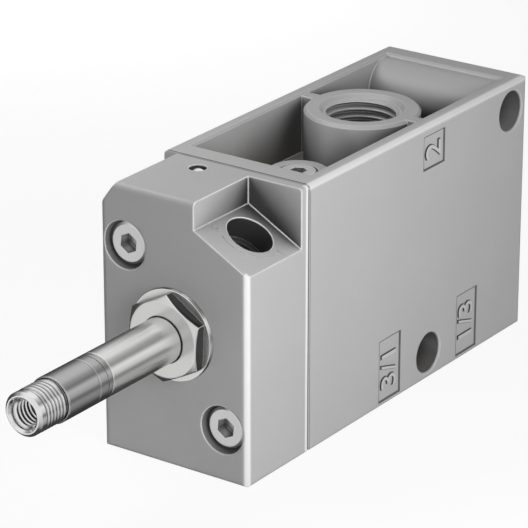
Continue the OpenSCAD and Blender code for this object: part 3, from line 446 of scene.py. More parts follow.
highlit_side = math_node(edge_band_highlight_group, "MULTIPLY", upper, near)
feed(edge_band_highlight_group, result["Mask"], math_node(edge_band_highlight_group, "MULTIPLY", either, highlit_side))

# %% [markdown]
# ### The skins of cast and turned metal
# A die-cast skin has a fine pebble grain and faint clouds where the metal flowed, which two noise textures
# give. A lathe tool leaves fine rings round the axis, so their noise runs along the axis and the radius.

# %% Die-cast grain
CLOUD_SCALE = 90
grain_group, given, result = new_group(
    "cast_grain", [("Grain Size", FLOAT, 0.35 * MM)], [("Height", FLOAT), ("Cloud", FLOAT)])
place = object_place(grain_group)
per_grain = math_node(grain_group, "DIVIDE", 1, given["Grain Size"])
for label, scale, detail in (("Height", per_grain, 3), ("Cloud", CLOUD_SCALE, 2)):
    noise = grain_group.nodes.new("ShaderNodeTexNoise")
    feed(grain_group, noise.inputs["Vector"], place)
    feed(grain_group, noise.inputs["Scale"], scale)
    feed(grain_group, noise.inputs["Detail"], detail)
    feed(grain_group, result[label], noise.outputs["Fac"])

# %% Lathe rings
lathe_group, given, result = new_group(
    "lathe_rings", [("Axis Height", FLOAT, axis_z), ("Ring Width", FLOAT, 0.12 * MM)], [("Height", FLOAT)])
place = parts_of(lathe_group, object_place(lathe_group))
over_axis = math_node(lathe_group, "SUBTRACT", place["Z"], given["Axis Height"])
square_y = math_node(lathe_group, "MULTIPLY", place["Y"], place["Y"])
square_z = math_node(lathe_group, "MULTIPLY", over_axis, over_axis)
radius = math_node(lathe_group, "SQRT", math_node(lathe_group, "ADD", square_y, square_z))
along = math_node(lathe_group, "ADD", place["X"], radius)
rings = lathe_group.nodes.new("ShaderNodeTexNoise")
rings.noise_dimensions = "1D"
feed(lathe_group, rings.inputs["Scale"], 1)
feed(lathe_group, rings.inputs["Detail"], 2)
feed(lathe_group, rings.inputs["W"], math_node(lathe_group, "DIVIDE", along, given["Ring Width"]))
feed(lathe_group, result["Height"], rings.outputs["Fac"])

# %% [markdown]
# ### One recipe for all finishes
# Every finish is one Principled shader with its own numbers. The texture group is chosen by how the piece
# is made: grain for castings, rings for turned pieces. Colours are laid over each other: first the metal with
# its painted dark flats, then the painted shade of its hollows, its parting line and its field rims, and the
# rubbed edges with their painted highlight last.

# %% Layers that only some finishes have
# The painted shade along the parting line is this wide on each side.
SEAM_LINE = 0.1 * MM
# The colour of the painted shade line round a field's rim.
FIELD_RIM_SHADE = grey(0.13)
# Below the first share a face counts as looking away from an axis, and above the second as along it.
LOOKS_AWAY = 0.3
LOOKS_ALONG = 0.7
QUARTER_TURN = 0.25


def facing(tree, axis_name):
    """How squarely a flat face looks along an axis, from 0 to 1."""
    surface = tree.nodes.new("ShaderNodeNewGeometry")
    return math_node(tree, "ABSOLUTE", parts_of(tree, surface.outputs["True Normal"])[axis_name])


def ring_gloss(tree, shader, amount):
    """Smear the gloss round the valve's axis, as a lathe's rings do."""
    ring_way = tree.nodes.new("ShaderNodeTangent")
    ring_way.direction_type = "RADIAL"
    ring_way.axis = "X"
    feed(tree, shader.inputs["Anisotropic"], amount)
    feed(tree, shader.inputs["Anisotropic Rotation"], QUARTER_TURN)
    feed(tree, shader.inputs["Tangent"], ring_way.outputs["Tangent"])


def bored_shade(tree, shaded, first, second, axis, radius, less, more):
    """The painted shade, with less of it inside two drilled holes, and at least as much as more says."""
    hole = {"First": first, "Second": second, "Axis": axis, "Radius": radius * MM}
    drilled = group_node(tree, drilled_group, hole)["Mask"]
    kept = math_node(tree, "MULTIPLY_ADD", drilled, -less, 1)
    deep = math_node(tree, "MULTIPLY", drilled, more)
    return math_node(tree, "MAXIMUM", math_node(tree, "MULTIPLY", shaded, kept), deep)


def clear_of_seam(tree, seam):
    """0 on the parting line and 1 off it, also on the faces that look along the valve."""
    from_seam = math_node(tree, "SUBTRACT", parts_of(tree, object_place(tree))["X"], seam)
    past_line = math_node(tree, "SUBTRACT", math_node(tree, "ABSOLUTE", from_seam), SEAM_LINE)
    clear = math_node(tree, "DIVIDE", past_line, SEAM_LINE, clamp=True)
    end_face = math_node(tree, "GREATER_THAN", facing(tree, "X"), LOOKS_ALONG)
    return math_node(tree, "MAXIMUM", clear, end_face)


def box_values(low, high):
    """What a group has to know of a box."""
    return {"Middle": (low + high) / 2, "Half Size": (high - low) / 2}


def near_edge_highlight_mask(tree, node_name, upright, long):
    """A painted highlight on the rounded edges of a CAD node's near side, with the widths in mm of both kinds of
    edge.
    """
    # A block with long edges shows only those of its upper half.
    values = box_values(*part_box(node_name))
    values.update({"Upright": upright * MM, "Long": long * MM, "Lowest": 0 if long else -1})
    return group_node(tree, edge_band_highlight_group, values)["Mask"]


# %% The recipe
GRAIN_DEPTH = 0.05 * MM
# A noise texture seldom leaves this stretch.
TONE_LOW = 0.3
TONE_HIGH = 0.7


def finish(name, colour, metallic, roughness, texture, bump, spread=0.04, turned=0, flats=None,
           recess=None, reach=14, shade=1.6, start=0, gap=2.6, bored=None,
           edge=None, edge_radius=0.3, block=None, seam=None, fields=()):
    """A material whose texture is the group that roughens it, with the strength bump.

    spread is how much its colour and gloss vary, and turned how far a lathe's rings smear the gloss.
    flats is an axis and the colour of the faces that don't look along it: painted shade on the digits' sides
    and a painted dark reflection on the hexagon's flats.
    recess is the colour of the painted shade in the hollows, reach in mm how far they are felt, shade their
    strength, start the share of shut sky at which they begin, and gap the strength of painted shade in joints
    between pieces.
    bored is two points, an axis and a radius in mm, how much less painted shade there is inside, and how much
    there is at least.
    edge is the colour of the rubbed corners with their painted highlight, with their radius in mm. block is a
    CAD node and the widths in mm of its upright and its long rounded edges, which get a painted highlight.
    seam is the X of a parting line along which shade is painted, and fields are the boxes round whose rims a
    painted shade line runs.
    """
    material = bpy.data.materials.new(name)
    material.use_nodes = True
    tree = material.node_tree
    shader = tree.nodes["Principled BSDF"]
    feed(tree, shader.inputs["Metallic"], metallic)
    if turned:
        ring_gloss(tree, shader, turned)

    skin = group_node(tree, texture)
    tone = skin["Cloud"] if "Cloud" in skin else skin["Height"]
    gloss = map_range(tree, tone, TONE_LOW, TONE_HIGH, roughness - spread, roughness + spread)
    feed(tree, shader.inputs["Roughness"], gloss)
    relief = tree.nodes.new("ShaderNodeBump")
    feed(tree, relief.inputs["Strength"], bump)
    feed(tree, relief.inputs["Distance"], GRAIN_DEPTH)
    feed(tree, relief.inputs["Height"], skin["Height"])
    feed(tree, shader.inputs["Normal"], relief.outputs["Normal"])

    darker = [c * (1 - spread) for c in colour]
    lighter = [min(1, c * (1 + spread)) for c in colour]
    coat = mix_colour(tree, tone, darker, lighter)
    # Faces turned away from an axis get painted shade on digit sides and a painted dark reflection on hexagon
    # flats.
    if flats is not None:
        look_along, flat_colour = flats
        sideways = math_node(tree, "LESS_THAN", facing(tree, look_along), LOOKS_AWAY)
        coat = mix_colour(tree, sideways, coat, flat_colour)
    # Painted shade in the hollows and in the joints between pieces.
    if recess is not None:
        hollows = group_node(tree, painted_shade_group, {
            "Reach": reach * MM, "Strength": shade, "Start": start, "Gap Strength": gap})
        shaded = hollows["Mask"] if bored is None else bored_shade(tree, hollows["Mask"], *bored)
        coat = mix_colour(tree, shaded, coat, recess)

    # Rubbed edges, with a painted highlight laid on them.
    if edge is not None:
        corners = group_node(tree, edge_highlight_group, {"Radius": edge_radius * MM})
        feed(tree, relief.inputs["Normal"], corners["Normal"])
        rubbed_and_highlit = corners["Mask"]
        # A painted highlight along the block's rounded edges on its near side.
        if block is not None:
            rubbed_and_highlit = math_node(tree, "MAXIMUM", rubbed_and_highlit, near_edge_highlight_mask(tree, *block))
        if recess is not None:
            rubbed_and_highlit = math_node(tree, "SUBTRACT", rubbed_and_highlit, hollows["Gap"], clamp=True)
        # Painted shade along the parting line, in the colour of the painted shade in hollows.
        if seam is not None:
            clear = clear_of_seam(tree, seam)
            coat = mix_colour(tree, clear, recess, coat)
            rubbed_and_highlit = math_node(tree, "MULTIPLY", rubbed_and_highlit, clear)
        # A painted shade line round each number field's rim.
        for low, high in fields:
            rim_shade = group_node(tree, rim_shade_group, box_values(low, high))["Mask"]
            coat = mix_colour(tree, rim_shade, coat, FIELD_RIM_SHADE)
            rubbed_and_highlit = math_node(tree, "SUBTRACT", rubbed_and_highlit, rim_shade, clamp=True)
        coat = mix_colour(tree, rubbed_and_highlit, coat, edge)
    feed(tree, shader.inputs["Base Color"], coat)
    print("finish", name)
    return material


# %% Putting a finish on
def dress(material, *node_names):
    """Give CAD nodes a finish in place of the plain one that they came with."""
    for name in node_names:
        for slot in frame["nodes"][name].material_slots:
            slot.material = material


# %% [markdown]
# ### The two castings
# Body and cover are blasted aluminium castings: matt, only a little metallic to the eye, with light
# rubbed edges that also carry a painted highlight. Their hollows and joints get painted shade, and so does
# the parting line. Three sunk fields on the near side hold the port numbers, and a painted shade line draws
# their rims. The mounting holes are drilled right through, and painted shade darkens their walls. The
# counterbores of the cover's screws are shallow, so their painted shade is weakened.

# %% Places on the castings
FIELD_WIDTH = 6.3 * MM
FIELD_SINK = 0.25 * MM
# Each number field has its port and its lowest and highest place.
FIELDS = {
    "number_upper": ("port_a", 38.2 * MM, 44.0 * MM),
    "number_front": ("port_exhaust", 0.8 * MM, 11.8 * MM),
    "number_rear": ("port_supply", 0.8 * MM, 11.8 * MM),
}
HEAD_RADIUS = 3.5 * MM

# Each box reaches from just outside the side face to just below the field's floor.
field_boxes = []
for port_name, lowest, highest in FIELDS.values():
    middle_x = mounts[port_name]["pos_m"][0]
    field_boxes.append((Vector((middle_x - FIELD_WIDTH / 2, body_low.y - FIELD_SINK, lowest)),
                        Vector((middle_x + FIELD_WIDTH / 2, body_low.y + 2 * FIELD_SINK, highest))))
screws_low, screws_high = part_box("cover_screws")
upper_screw = Vector((0, screws_high.y - HEAD_RADIUS, screws_high.z - HEAD_RADIUS))
lower_screw = Vector((0, screws_low.y + HEAD_RADIUS, screws_low.z + HEAD_RADIUS))
mounting_holes = [Vector(mounts[name]["pos_m"]) for name in ("mount_hole_rear", "mount_hole_lower")]
print("fields", len(field_boxes), "screws", [round(v / MM, 1) for v in upper_screw - lower_screw])

# %% The castings
CAST_GREY = grey(0.48)
# The colour of the painted shade in hollows, bores, joints and along the parting line.
CAST_PAINTED_SHADE = grey(0.03)
CAST_SKIN = {"metallic": 0.15, "texture": grain_group, "bump": 0.12}

casting = finish(
    "die_cast_grey", CAST_GREY, roughness=0.46, **CAST_SKIN, edge=grey(0.78), edge_radius=0.42,
    recess=CAST_PAINTED_SHADE, shade=1.9, start=0.3, gap=1.6, bored=(*mounting_holes, (0, 1, 0), 3.6, 0, 0.8),
    block=("valve_body", 0, 1.0), seam=body_low.x, fields=field_boxes)
cover_casting = finish(
    "die_cast_cover", CAST_GREY, roughness=0.46, **CAST_SKIN, edge=grey(0.86), edge_radius=0.5,
    recess=CAST_PAINTED_SHADE, shade=2.6, start=0.12, gap=1.3,
    bored=(upper_screw, lower_screw, (1, 0, 0), 4.15, 0.35, 0),
    block=("pilot_cover", 0.95, 0), seam=cover_high.x)
# The digits' side faces get painted shade.
digit_face = finish("raised_digit", grey(0.58), roughness=0.46, **CAST_SKIN, flats=("Y", grey(0.06)))
# The colour of the painted shade line under the digits.
digit_shade_line = finish("digit_shade_line", grey(0.09), roughness=0.6, **CAST_SKIN)
dress(casting, "valve_body")
dress(cover_casting, "pilot_cover")
for name in ("valve_body", "pilot_cover"):
    frame["nodes"][name].visible_glossy = False

# %% [markdown]
# ### Turned steel
# The tube and its disc are stainless. The hexagon's side faces get a painted dark reflection, so they are
# darker than its turned front. The core stop, the armature and the band are a darker steel. A lathe's
# rings smear the gloss round the axis, and the cut threads have the sharpest gloss. Painted shade darkens
# the grooves and thread roots, and a painted highlight brightens the edges.

# %% Turned steel
# The colour of the steel's rubbed edges with their painted highlight.
STEEL_EDGE_HIGHLIGHT = grey(0.98)
# The colour of the painted shade in the steel's grooves, thread roots and joints.
STEEL_PAINTED_SHADE = grey(0.02)
TURNED_STEEL = {"metallic": 1, "texture": lathe_group, "spread": 0.02, "edge": STEEL_EDGE_HIGHLIGHT}
TUBE_STEEL = {**TURNED_STEEL, "roughness": 0.25, "bump": 0.025, "edge_radius": 0.16,
              "recess": STEEL_PAINTED_SHADE, "reach": 0.5, "shade": 2.8, "turned": 0.9}

bright_steel = finish("turned_stainless", (0.76, 0.76, 0.75), **TUBE_STEEL)
# The hexagon's flats get a painted dark reflection.
hexagon_steel = finish("turned_hexagon", (0.68, 0.68, 0.67), **TURNED_STEEL, roughness=0.24, bump=0.03,
                       edge_radius=0.4, turned=0.5, flats=("X", grey(0.06)))
core_steel = finish("turned_core_steel", grey(0.46), **TUBE_STEEL)
thread_steel = finish("cut_thread", grey(0.80), **TURNED_STEEL, roughness=0.15, bump=0.02, edge_radius=0.14,
                      recess=STEEL_PAINTED_SHADE, reach=0.45, shade=2.2, gap=0.8, turned=0.5)
dress(bright_steel, "base_disc", "armature_tube", "valve_stem")
dress(hexagon_steel, "hex_gland")
dress(core_steel, "tube_band", "core_stop", "armature")

# %% [markdown]
# ### Small metal parts
# The screws and the plug are zinc plated, which is softer in its gloss than steel. Inside sit an alloy
# piston, brass nozzle, cages and seats, a sintered filter and copper rings. They hardly show, but each
# gets a plain metal of its own kind.

# %% Small metal parts
SMALL_EDGE = 0.12
# The zinc gets painted highlights on its edges and painted shade in its recesses.
zinc = finish("zinc_plated", grey(0.72), metallic=0.85, roughness=0.33, texture=grain_group, bump=0.05,
              edge=grey(0.95), edge_radius=0.16, recess=grey(0.05), reach=1.2, shade=1.4)
polished_ball = finish("polished_ball", grey(0.8), metallic=1, roughness=0.12, texture=grain_group, bump=0.02)
spring_steel = finish("spring_steel", grey(0.5), metallic=1, roughness=0.32, texture=grain_group, bump=0.05)
# The turned alloy and brass get painted highlights on their edges.
turned_alloy = finish("turned_alloy", (0.7, 0.7, 0.71), metallic=1, roughness=0.3, texture=lathe_group,
                      bump=0.08, edge=grey(0.9), edge_radius=SMALL_EDGE)
turned_brass = finish("turned_brass", (0.78, 0.58, 0.27), metallic=1, roughness=0.3, texture=lathe_group,
                      bump=0.10, edge=(0.9, 0.74, 0.45), edge_radius=SMALL_EDGE)
sintered_bronze = finish("sintered_bronze", (0.45, 0.3, 0.16), metallic=0.8, roughness=0.6,
                         texture=grain_group, bump=0.3)
soft_copper = finish("soft_copper", (0.72, 0.38, 0.24), metallic=1, roughness=0.35, texture=grain_group,
                     bump=0.06)
dress(zinc, "cover_screws", "pocket_plug")
dress(polished_ball, "channel_balls")
dress(spring_steel, "armature_spring", "return_spring", "override_spring", "override_washer")
dress(spring_steel, "bush_circlip", "stem_circlip")
dress(turned_alloy, "pilot_piston")
dress(turned_brass, "pilot_nozzle", "guide_bush", "exhaust_cage", "exhaust_seat", "supply_cage")
dress(turned_brass, "supply_seat", "stem_sleeve")
dress(sintered_bronze, "filter_disc")
dress(soft_copper, "shading_ring", "plug_washer")

# %% [markdown]
# ### Rubber and plastic
# Seals are matt black rubber. The override is moulded in dark plastic, a touch lighter and smoother, with a
# painted highlight on its edges.

# %% Rubber and plastic
seal_rubber = finish("seal_rubber", grey(0.02), metallic=0, roughness=0.6, texture=grain_group, bump=0.08)
# The override's edges get a painted highlight.
dark_override = finish("dark_override", grey(0.035), metallic=0, roughness=0.45, texture=grain_group,
                       bump=0.06, edge=grey(0.12), edge_radius=SMALL_EDGE)
dress(seal_rubber, "cover_gasket", "gland_oring", "front_seal_pad", "pilot_seal_pad", "guide_oring")
dress(seal_rubber, "stem_seal", "exhaust_seat_oring", "supply_seat_oring", "piston_seal")
dress(seal_rubber, "exhaust_poppet", "supply_poppet", "override_oring")
dress(dark_override, "override_clip", "override_pin")
print("finishes", len(bpy.data.materials))

# %% [markdown]
# ### Threads
# A thread is a ridge wound round an axis. The ridge's section is a small trapezium, and the spin operator
# turns it while it moves it on by a little at each step, so one call winds the whole helix.
# The first and last third of a turn sink into the wall, as a real thread runs out.

# %% Winding a ridge
THREAD_STEPS = 40
FOOT_SHARE = 0.46
CREST_SHARE = 0.09
FADES_PER_TURN = 3
ROOT_SINK = 0.02 * MM


def add_ridge(mesh, start, along, root, crest, pitch, turns, mouth=None):
    """Wind a closed ridge: start is a point on the axis, root and crest are radii, along is the axis.

    mouth is the height at which a 45 degree countersink has cut an inside ridge back to its root.
    """
    side = along.orthogonal().normalized()
    section = [(root, -FOOT_SHARE), (crest, -CREST_SHARE), (crest, CREST_SHARE), (root, FOOT_SHARE)]
    corners = [mesh.verts.new(start + side * r + along * (k * pitch)) for r, k in section]
    face = mesh.faces.new(corners)
    steps = round(turns * THREAD_STEPS)
    bmesh.ops.spin(
        mesh, geom=[face, *face.edges, *corners], cent=start, axis=along, use_duplicate=False,
        dvec=along * (pitch / THREAD_STEPS), angle=math.tau * steps / THREAD_STEPS, steps=steps)
    # Faces from before the ridge are tagged. The ridge's ends are now sunk into the wall.
    ridge = {vertex for face in mesh.faces if not face.tag for vertex in face.verts}
    other = along.cross(side)
    for vertex in ridge:
        offset = vertex.co - start
        turn = math.atan2(offset.dot(other), offset.dot(side)) / math.tau
        height = offset.dot(along) / pitch
        at = round(height - turn) + turn
        fade = min(1, max(0, min(at, steps / THREAD_STEPS - at) * FADES_PER_TURN))
        axis_point = start + along * offset.dot(along)
        radial = vertex.co - axis_point
        length = root + (radial.length - root) * fade
        if mouth is not None:
            length = max(length, min(root, root - mouth + offset.dot(along)))
        vertex.co = axis_point + radial.normalized() * length
    for face in mesh.faces:
        face.tag = True


# %% From a mesh to a piece
SAME_PLACE = 0.001 * MM
SHARP_ANGLE = math.radians(30)


def mesh_data(name, mesh, *materials):
    """Turn a bmesh into mesh data that wears these materials."""
    data = bpy.data.meshes.new(name)
    mesh.to_mesh(data)
    mesh.free()
    for material in materials:
        data.materials.append(material)
    return data


def add_piece(name, data, body):
    """Put mesh data into the scene as a piece that rides on a body."""
    piece = bpy.data.objects.new(name, data)
    scene.collection.objects.link(piece)
    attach(piece, body)
    print(name, len(data.polygons), "faces")
    return piece


def finished_object(name, mesh, body, material):
    """Turn a bmesh into a piece that is smooth where its faces meet gently."""
    bmesh.ops.remove_doubles(mesh, verts=mesh.verts, dist=SAME_PLACE)
    bmesh.ops.dissolve_degenerate(mesh, edges=mesh.edges, dist=SAME_PLACE)
    bmesh.ops.recalc_face_normals(mesh, faces=mesh.faces)
    data = mesh_data(name, mesh, material)
    data.shade_smooth()
    data.set_sharp_from_angle(angle=SHARP_ANGLE)
    return add_piece(name, data, body)


# %% [markdown]
# The three ports have a quarter-inch pipe thread with 19 turns to the inch. Each ridge stands inwards
# from the bore's wall, so it is a separate liner in the body's own finish. It is wound a little too long
# and then cut off flat at the bore's end, and the countersink of the mouth lowers its last turn.

# %% Port threads
PORT_PITCH = 25.4 / 19 * MM
PORT_RIDGE = 0.86 * MM
PORT_TURNS = 7.6
COUNTERSINK_LIFT = 0.4 * MM

for name in ("port_a", "port_supply", "port_exhaust"):
    port = mounts[name]
    out = Vector(port["axis"])
    middle = Vector(port["pos_m"])
    wall = port["dims"]["r_mm"] * MM
    length = port["dims"]["length_mm"] * MM
    first_turn = PORT_PITCH / 2
    mesh = bmesh.new()
    add_ridge(mesh, middle - out * (length / 2 - first_turn), out, wall + ROOT_SINK, wall - PORT_RIDGE,
              PORT_PITCH, PORT_TURNS, mouth=length - first_turn + COUNTERSINK_LIFT)
    whole = mesh.verts[:] + mesh.edges[:] + mesh.faces[:]
    bore_end = middle + out * (length / 2)
    bmesh.ops.bisect_plane(mesh, geom=whole, plane_co=bore_end, plane_no=out, clear_outer=True)
    bmesh.ops.holes_fill(mesh, edges=[edge for edge in mesh.edges if edge.is_boundary])
    finished_object(name + "_thread", mesh, "valve", casting)

# %% [markdown]
# The tip of the tube carries two threads: a fine one outside for the coil's nut and an M5 thread inside.
# The plain solid has both at their outside radius, so here the tip is turned anew: one profile, spun
# round the axis, with the roots cut down, and the two ridges wound onto it.

# %% Sizes of the core stop
PLAIN_END = 1.6 * MM
BAND_WALL = 0.5 * MM
POLE_INSET = 1 * MM
core_low, core_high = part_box("core_stop")
band_low, band_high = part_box("tube_band")
tip_thread = mounts["tube_thread"]
hole = mounts["pilot_exhaust"]
tube_radius = mounts["coil_tube"]["dims"]["r_mm"] * MM
nut_radius = tip_thread["dims"]["r_mm"] * MM
hole_radius = hole["dims"]["r_mm"] * MM
hole_end = hole["pos_m"][0] + hole["dims"]["length_mm"] * MM / 2
thread_start = tip_thread["pos_m"][0] + tip_thread["dims"]["length_mm"] * MM / 2
thread_end = core_low.x + PLAIN_END
stem_radius = band_high.y - BAND_WALL
pole = band_high.x - POLE_INSET
NUT_PITCH = 0.75 * MM
NUT_RIDGE = 0.3 * MM
# The nut's ridge starts at this share of a pitch and stops short by this share of a turn.
NUT_FIRST = 0.3
NUT_SHORT = 0.4
HOLE_PITCH = 0.8 * MM
HOLE_RIDGE = 0.43 * MM
# The hole's ridge starts this far inside the tip.
HOLE_FIRST = 0.6 * MM
HOLE_TURNS = 8.6
HOLE_FLARE = 0.37 * MM
HOLE_BEVEL = 0.4 * MM
DRILL_POINT = 1 * MM
END_RADIUS = 3.6 * MM
BEVEL = 0.5 * MM
GROOVE = 0.15 * MM
CHANNEL = 0.5 * MM
NOSE = 0.95 * MM
STOP_STEPS = 96
print("nut thread", round((thread_start - thread_end) / MM, 2), "mm long")

# %% The core stop with its threads
profile = [
    (core_high.x, CHANNEL), (core_high.x, NOSE), (pole, NOSE), (pole, stem_radius),
    (band_low.x, stem_radius), (band_low.x, tube_radius - GROOVE), (band_low.x - GROOVE, tube_radius),
    (thread_start + GROOVE, tube_radius), (thread_start, tube_radius - GROOVE),
    (thread_start, nut_radius - NUT_RIDGE), (thread_end, nut_radius - NUT_RIDGE),
    (thread_end - GROOVE, END_RADIUS), (core_low.x + BEVEL, END_RADIUS), (core_low.x, END_RADIUS - BEVEL),
    (core_low.x, hole_radius + HOLE_FLARE), (core_low.x + HOLE_BEVEL, hole_radius),
    (hole_end, hole_radius), (hole_end + DRILL_POINT, CHANNEL),
]
along = Vector((1, 0, 0))
on_axis = Vector((0, 0, axis_z))
mesh = bmesh.new()
ring = [mesh.verts.new((x, r, axis_z)) for x, r in profile]
edges = [mesh.edges.new((ring[i - 1], ring[i])) for i in range(len(ring))]
bmesh.ops.spin(
    mesh, geom=ring + edges, cent=on_axis, axis=along, angle=math.tau, steps=STOP_STEPS, use_merge=True)
for face in mesh.faces:
    face.tag = True

add_ridge(mesh, on_axis + along * (thread_end + NUT_PITCH * NUT_FIRST), along,
          nut_radius - NUT_RIDGE - ROOT_SINK, nut_radius, NUT_PITCH,
          (thread_start - thread_end) / NUT_PITCH - NUT_SHORT)
add_ridge(mesh, on_axis + along * (core_low.x + HOLE_FIRST), along,
          hole_radius + ROOT_SINK, hole_radius - HOLE_RIDGE, HOLE_PITCH, HOLE_TURNS)

# Faces from the thread to the tip wear the second material.
for face in mesh.faces:
    face.material_index = 1 if face.calc_center_median().x < thread_start else 0
threaded_stop = finished_object("threaded_core_stop", mesh, "valve", core_steel)
threaded_stop.data.materials.append(thread_steel)
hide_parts("core_stop")

# %% [markdown]
# ### Springs
# The solids of the three springs are coarse and stiff. Here each is wound anew from round wire: a circle
# spun round the axis in three stretches, closed and flat at both ends and open between. It takes its
# place and its size from the solid, and winds out from the end that stays put when its joint moves.

# %% Winding a spring
WIRE_SIDES = 12
TURN_STEPS = 32
CLOSED_TURNS = 1.1
# Closed turns rise by a little more than the wire's thickness, so that they don't touch.
CLOSED_RISE = 1.06


def wind_spring(name, joint_name, wire, turns):
    """A spring in place of a CAD node, which a joint presses together."""
    joint = next(j for j in frame["record"]["behaviour"]["joints"] if j["name"] == joint_name)
    held = joint["deforming_nodes"][0]
    # The end that stays put is a point, or an X on the valve's axis.
    base = Vector(held.get("fixed_end_m") or (held["fixed_end_x_m"], 0, axis_z))
    along = -Vector(joint["axis"]).normalized()
    offsets = [vertex.co - base for vertex in frame["nodes"][name].data.vertices]
    reaches = [offset.dot(along) for offset in offsets]
    outer = max((offset - along * reach).length for offset, reach in zip(offsets, reaches))
    first, last = min(reaches), max(reaches)
    rise = CLOSED_RISE * wire
    open_turns = turns - 2 * CLOSED_TURNS
    lift = (last - first - wire - 2 * CLOSED_TURNS * rise) / open_turns

    side = along.orthogonal().normalized()
    centre = base + along * (first + wire / 2) + side * (outer - wire / 2)
    axes = Matrix((side, along, side.cross(along))).transposed().to_4x4()
    mesh = bmesh.new()
    bmesh.ops.create_circle(mesh, cap_ends=True, segments=WIRE_SIDES, radius=wire / 2,
                            matrix=Matrix.Translation(centre) @ axes)
    end = mesh.verts[:] + mesh.edges[:] + mesh.faces[:]
    for stretch, per_turn in ((CLOSED_TURNS, rise), (open_turns, lift), (CLOSED_TURNS, rise)):
        steps = round(stretch * TURN_STEPS)
        step_rise = along * (stretch * per_turn / steps)
        wound = bmesh.ops.spin(mesh, geom=end, cent=base, axis=along, dvec=step_rise,
                               angle=math.tau * stretch, steps=steps, use_duplicate=False)
        end = wound["geom_last"]
    piece = finished_object(name + "_wire", mesh, "valve", spring_steel)
    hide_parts(name)
    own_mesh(piece)
    print(name, "length", round((last - first) / MM, 2), "travel", joint["range_m"][1] / MM)


wind_spring("armature_spring", "armature_slide", wire=0.34 * MM, turns=9)
wind_spring("return_spring", "spool_slide", wire=0.7 * MM, turns=7)
wind_spring("override_spring", "override_push", wire=0.36 * MM, turns=3.8)

# %% [markdown]
# ### Numbers in the sunk fields
# The near side has three shallow fields that tell the ports apart. Plain port numbers stand in them,
# raised from the floor of the field and no higher than the side face, and read from bottom to top.
# A thin plate a little wider than each digit lies under it and draws a painted shade line round its foot.
# The digits' side faces get painted shade as well.

# %% Raised text
PLATE_THICKNESS = 0.04 * MM


def text_mesh(name, words, height, thickness, wider=0.0):
    """Flat text as a mesh, centred on the origin; wider grows its outline all round."""
    curve = bpy.data.curves.new(name, "FONT")
    curve.body = words
    curve.size = height
    curve.align_x = "CENTER"
    curve.align_y = "CENTER"
    curve.extrude = thickness / 2
    curve.offset = wider
    curve.resolution_u = 4
    maker = bpy.data.objects.new(name, curve)
    scene.collection.objects.link(maker)
    bpy.context.view_layer.update()
    data = bpy.data.meshes.new_from_object(maker)
    bpy.data.objects.remove(maker)
    return data


def raised_text(name, words, height, place, thickness, body, face_finish, shade_line=0.0):
    """Raised text at the matrix place; the last argument is the width of a painted shade line round each digit."""
    materials = [face_finish]
    mesh = bmesh.new()
    mesh.from_mesh(text_mesh(name, words, height, thickness))
    # The plate under the digits is darker and draws a painted shade line round their foot.
    if shade_line:
        plate = text_mesh(name + "_shade_line", words, height, PLATE_THICKNESS, shade_line)
        plate.transform(Matrix.Translation((0, 0, (PLATE_THICKNESS - thickness) / 2)))
        digits = set(mesh.faces)
        mesh.from_mesh(plate)
        for face in mesh.faces:
            face.material_index = 0 if face in digits else 1
        materials.append(digit_shade_line)
    bmesh.ops.remove_doubles(mesh, verts=mesh.verts, dist=SAME_PLACE)
    mesh.transform(place)
    add_piece(name, mesh_data(name, mesh, *materials), body)


# %% Port numbers
DIGIT_THICKNESS = 0.24 * MM
DIGIT_LINE = 0.14 * MM
# Each number field has its words and their height in mm.
NUMBERS = {"number_upper": ("2", 6.4), "number_front": ("3/1", 6.2), "number_rear": ("1/3", 6.2)}
QUARTER = math.radians(90)

digit_y = body_low.y + FIELD_SINK - DIGIT_THICKNESS / 2
upright = Matrix.Rotation(QUARTER, 4, "X") @ Matrix.Rotation(QUARTER, 4, "Z")
for name, (words, size) in NUMBERS.items():
    port_name, lowest, highest = FIELDS[name]
    place = Matrix.Translation((mounts[port_name]["pos_m"][0], digit_y, (lowest + highest) / 2)) @ upright
    raised_text(name, words, size * MM, place, DIGIT_THICKNESS, "valve", digit_face,
                shade_line=DIGIT_LINE)

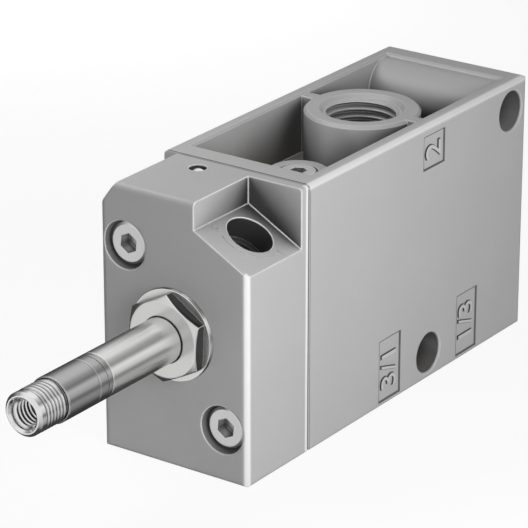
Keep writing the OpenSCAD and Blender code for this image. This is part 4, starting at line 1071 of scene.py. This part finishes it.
# %% [markdown]
# ### Marks at the override
# The floor of the notch has a fine raised arc beside the bore, on the side of the tube, with a 0 at one
# end and a 1 at the other, for released and pushed. The arc is a tiny rectangle spun through part of a
# turn. Angles count round the bore's axis, from straight downhill towards the rear.

# %% The arc
override_turn = next(joint for joint in frame["joints"] if joint["name"] == "override_turn")
override_axis = Vector(override_turn["axis"]).normalized()
slope = math.asin(-override_axis.y)
downhill = Vector((0, -math.cos(slope), -math.sin(slope)))
# The notch's floor lies this far from the valve's axis, along the override's axis.
FLOOR_REACH = 18.13 * MM
floor_point = Vector((override_turn["pos_m"][0], 0, axis_z)) + override_axis * FLOOR_REACH
ARC_INNER = 5.1 * MM
ARC_OUTER = ARC_INNER + 0.16 * MM
ARC_FROM = math.radians(-112)
ARC_TURN = math.radians(118)
ARC_STEPS = 40
MARK_HEIGHT = 0.1 * MM
MARK_ROOT = -0.2 * MARK_HEIGHT

arc = bmesh.new()
start = Matrix.Rotation(ARC_FROM, 3, override_axis) @ downhill
section = [(ARC_INNER, MARK_ROOT), (ARC_OUTER, MARK_ROOT), (ARC_OUTER, MARK_HEIGHT), (ARC_INNER, MARK_HEIGHT)]
corners = [arc.verts.new(floor_point + start * r + override_axis * height) for r, height in section]
face = arc.faces.new(corners)
bmesh.ops.spin(arc, geom=[face, *face.edges, *corners], cent=floor_point, axis=override_axis,
               angle=ARC_TURN, steps=ARC_STEPS, use_duplicate=False)
finished_object("override_arc", arc, "valve", cover_casting)

# %% The 0 and the 1
# Each mark has its sign, its angle in degrees and its distance from the bore's axis in mm.
MARKS = {"override_zero": ("0", -129, 6.0), "override_one": ("1", 19, 5.6)}
MARK_SIZE = 1.9 * MM
MARK_MIDDLE = 0.4 * MARK_HEIGHT

tilt = Matrix.Rotation(slope, 4, "X")
for name, (words, degrees, reach) in MARKS.items():
    turn = math.radians(degrees)
    spot = Matrix.Rotation(turn, 3, override_axis) @ downhill
    centre = floor_point + spot * (reach * MM) + override_axis * MARK_MIDDLE
    place = Matrix.Translation(centre) @ tilt @ Matrix.Rotation(turn, 4, "Z")
    raised_text(name, words, MARK_SIZE, place, MARK_HEIGHT, "valve", cover_casting)
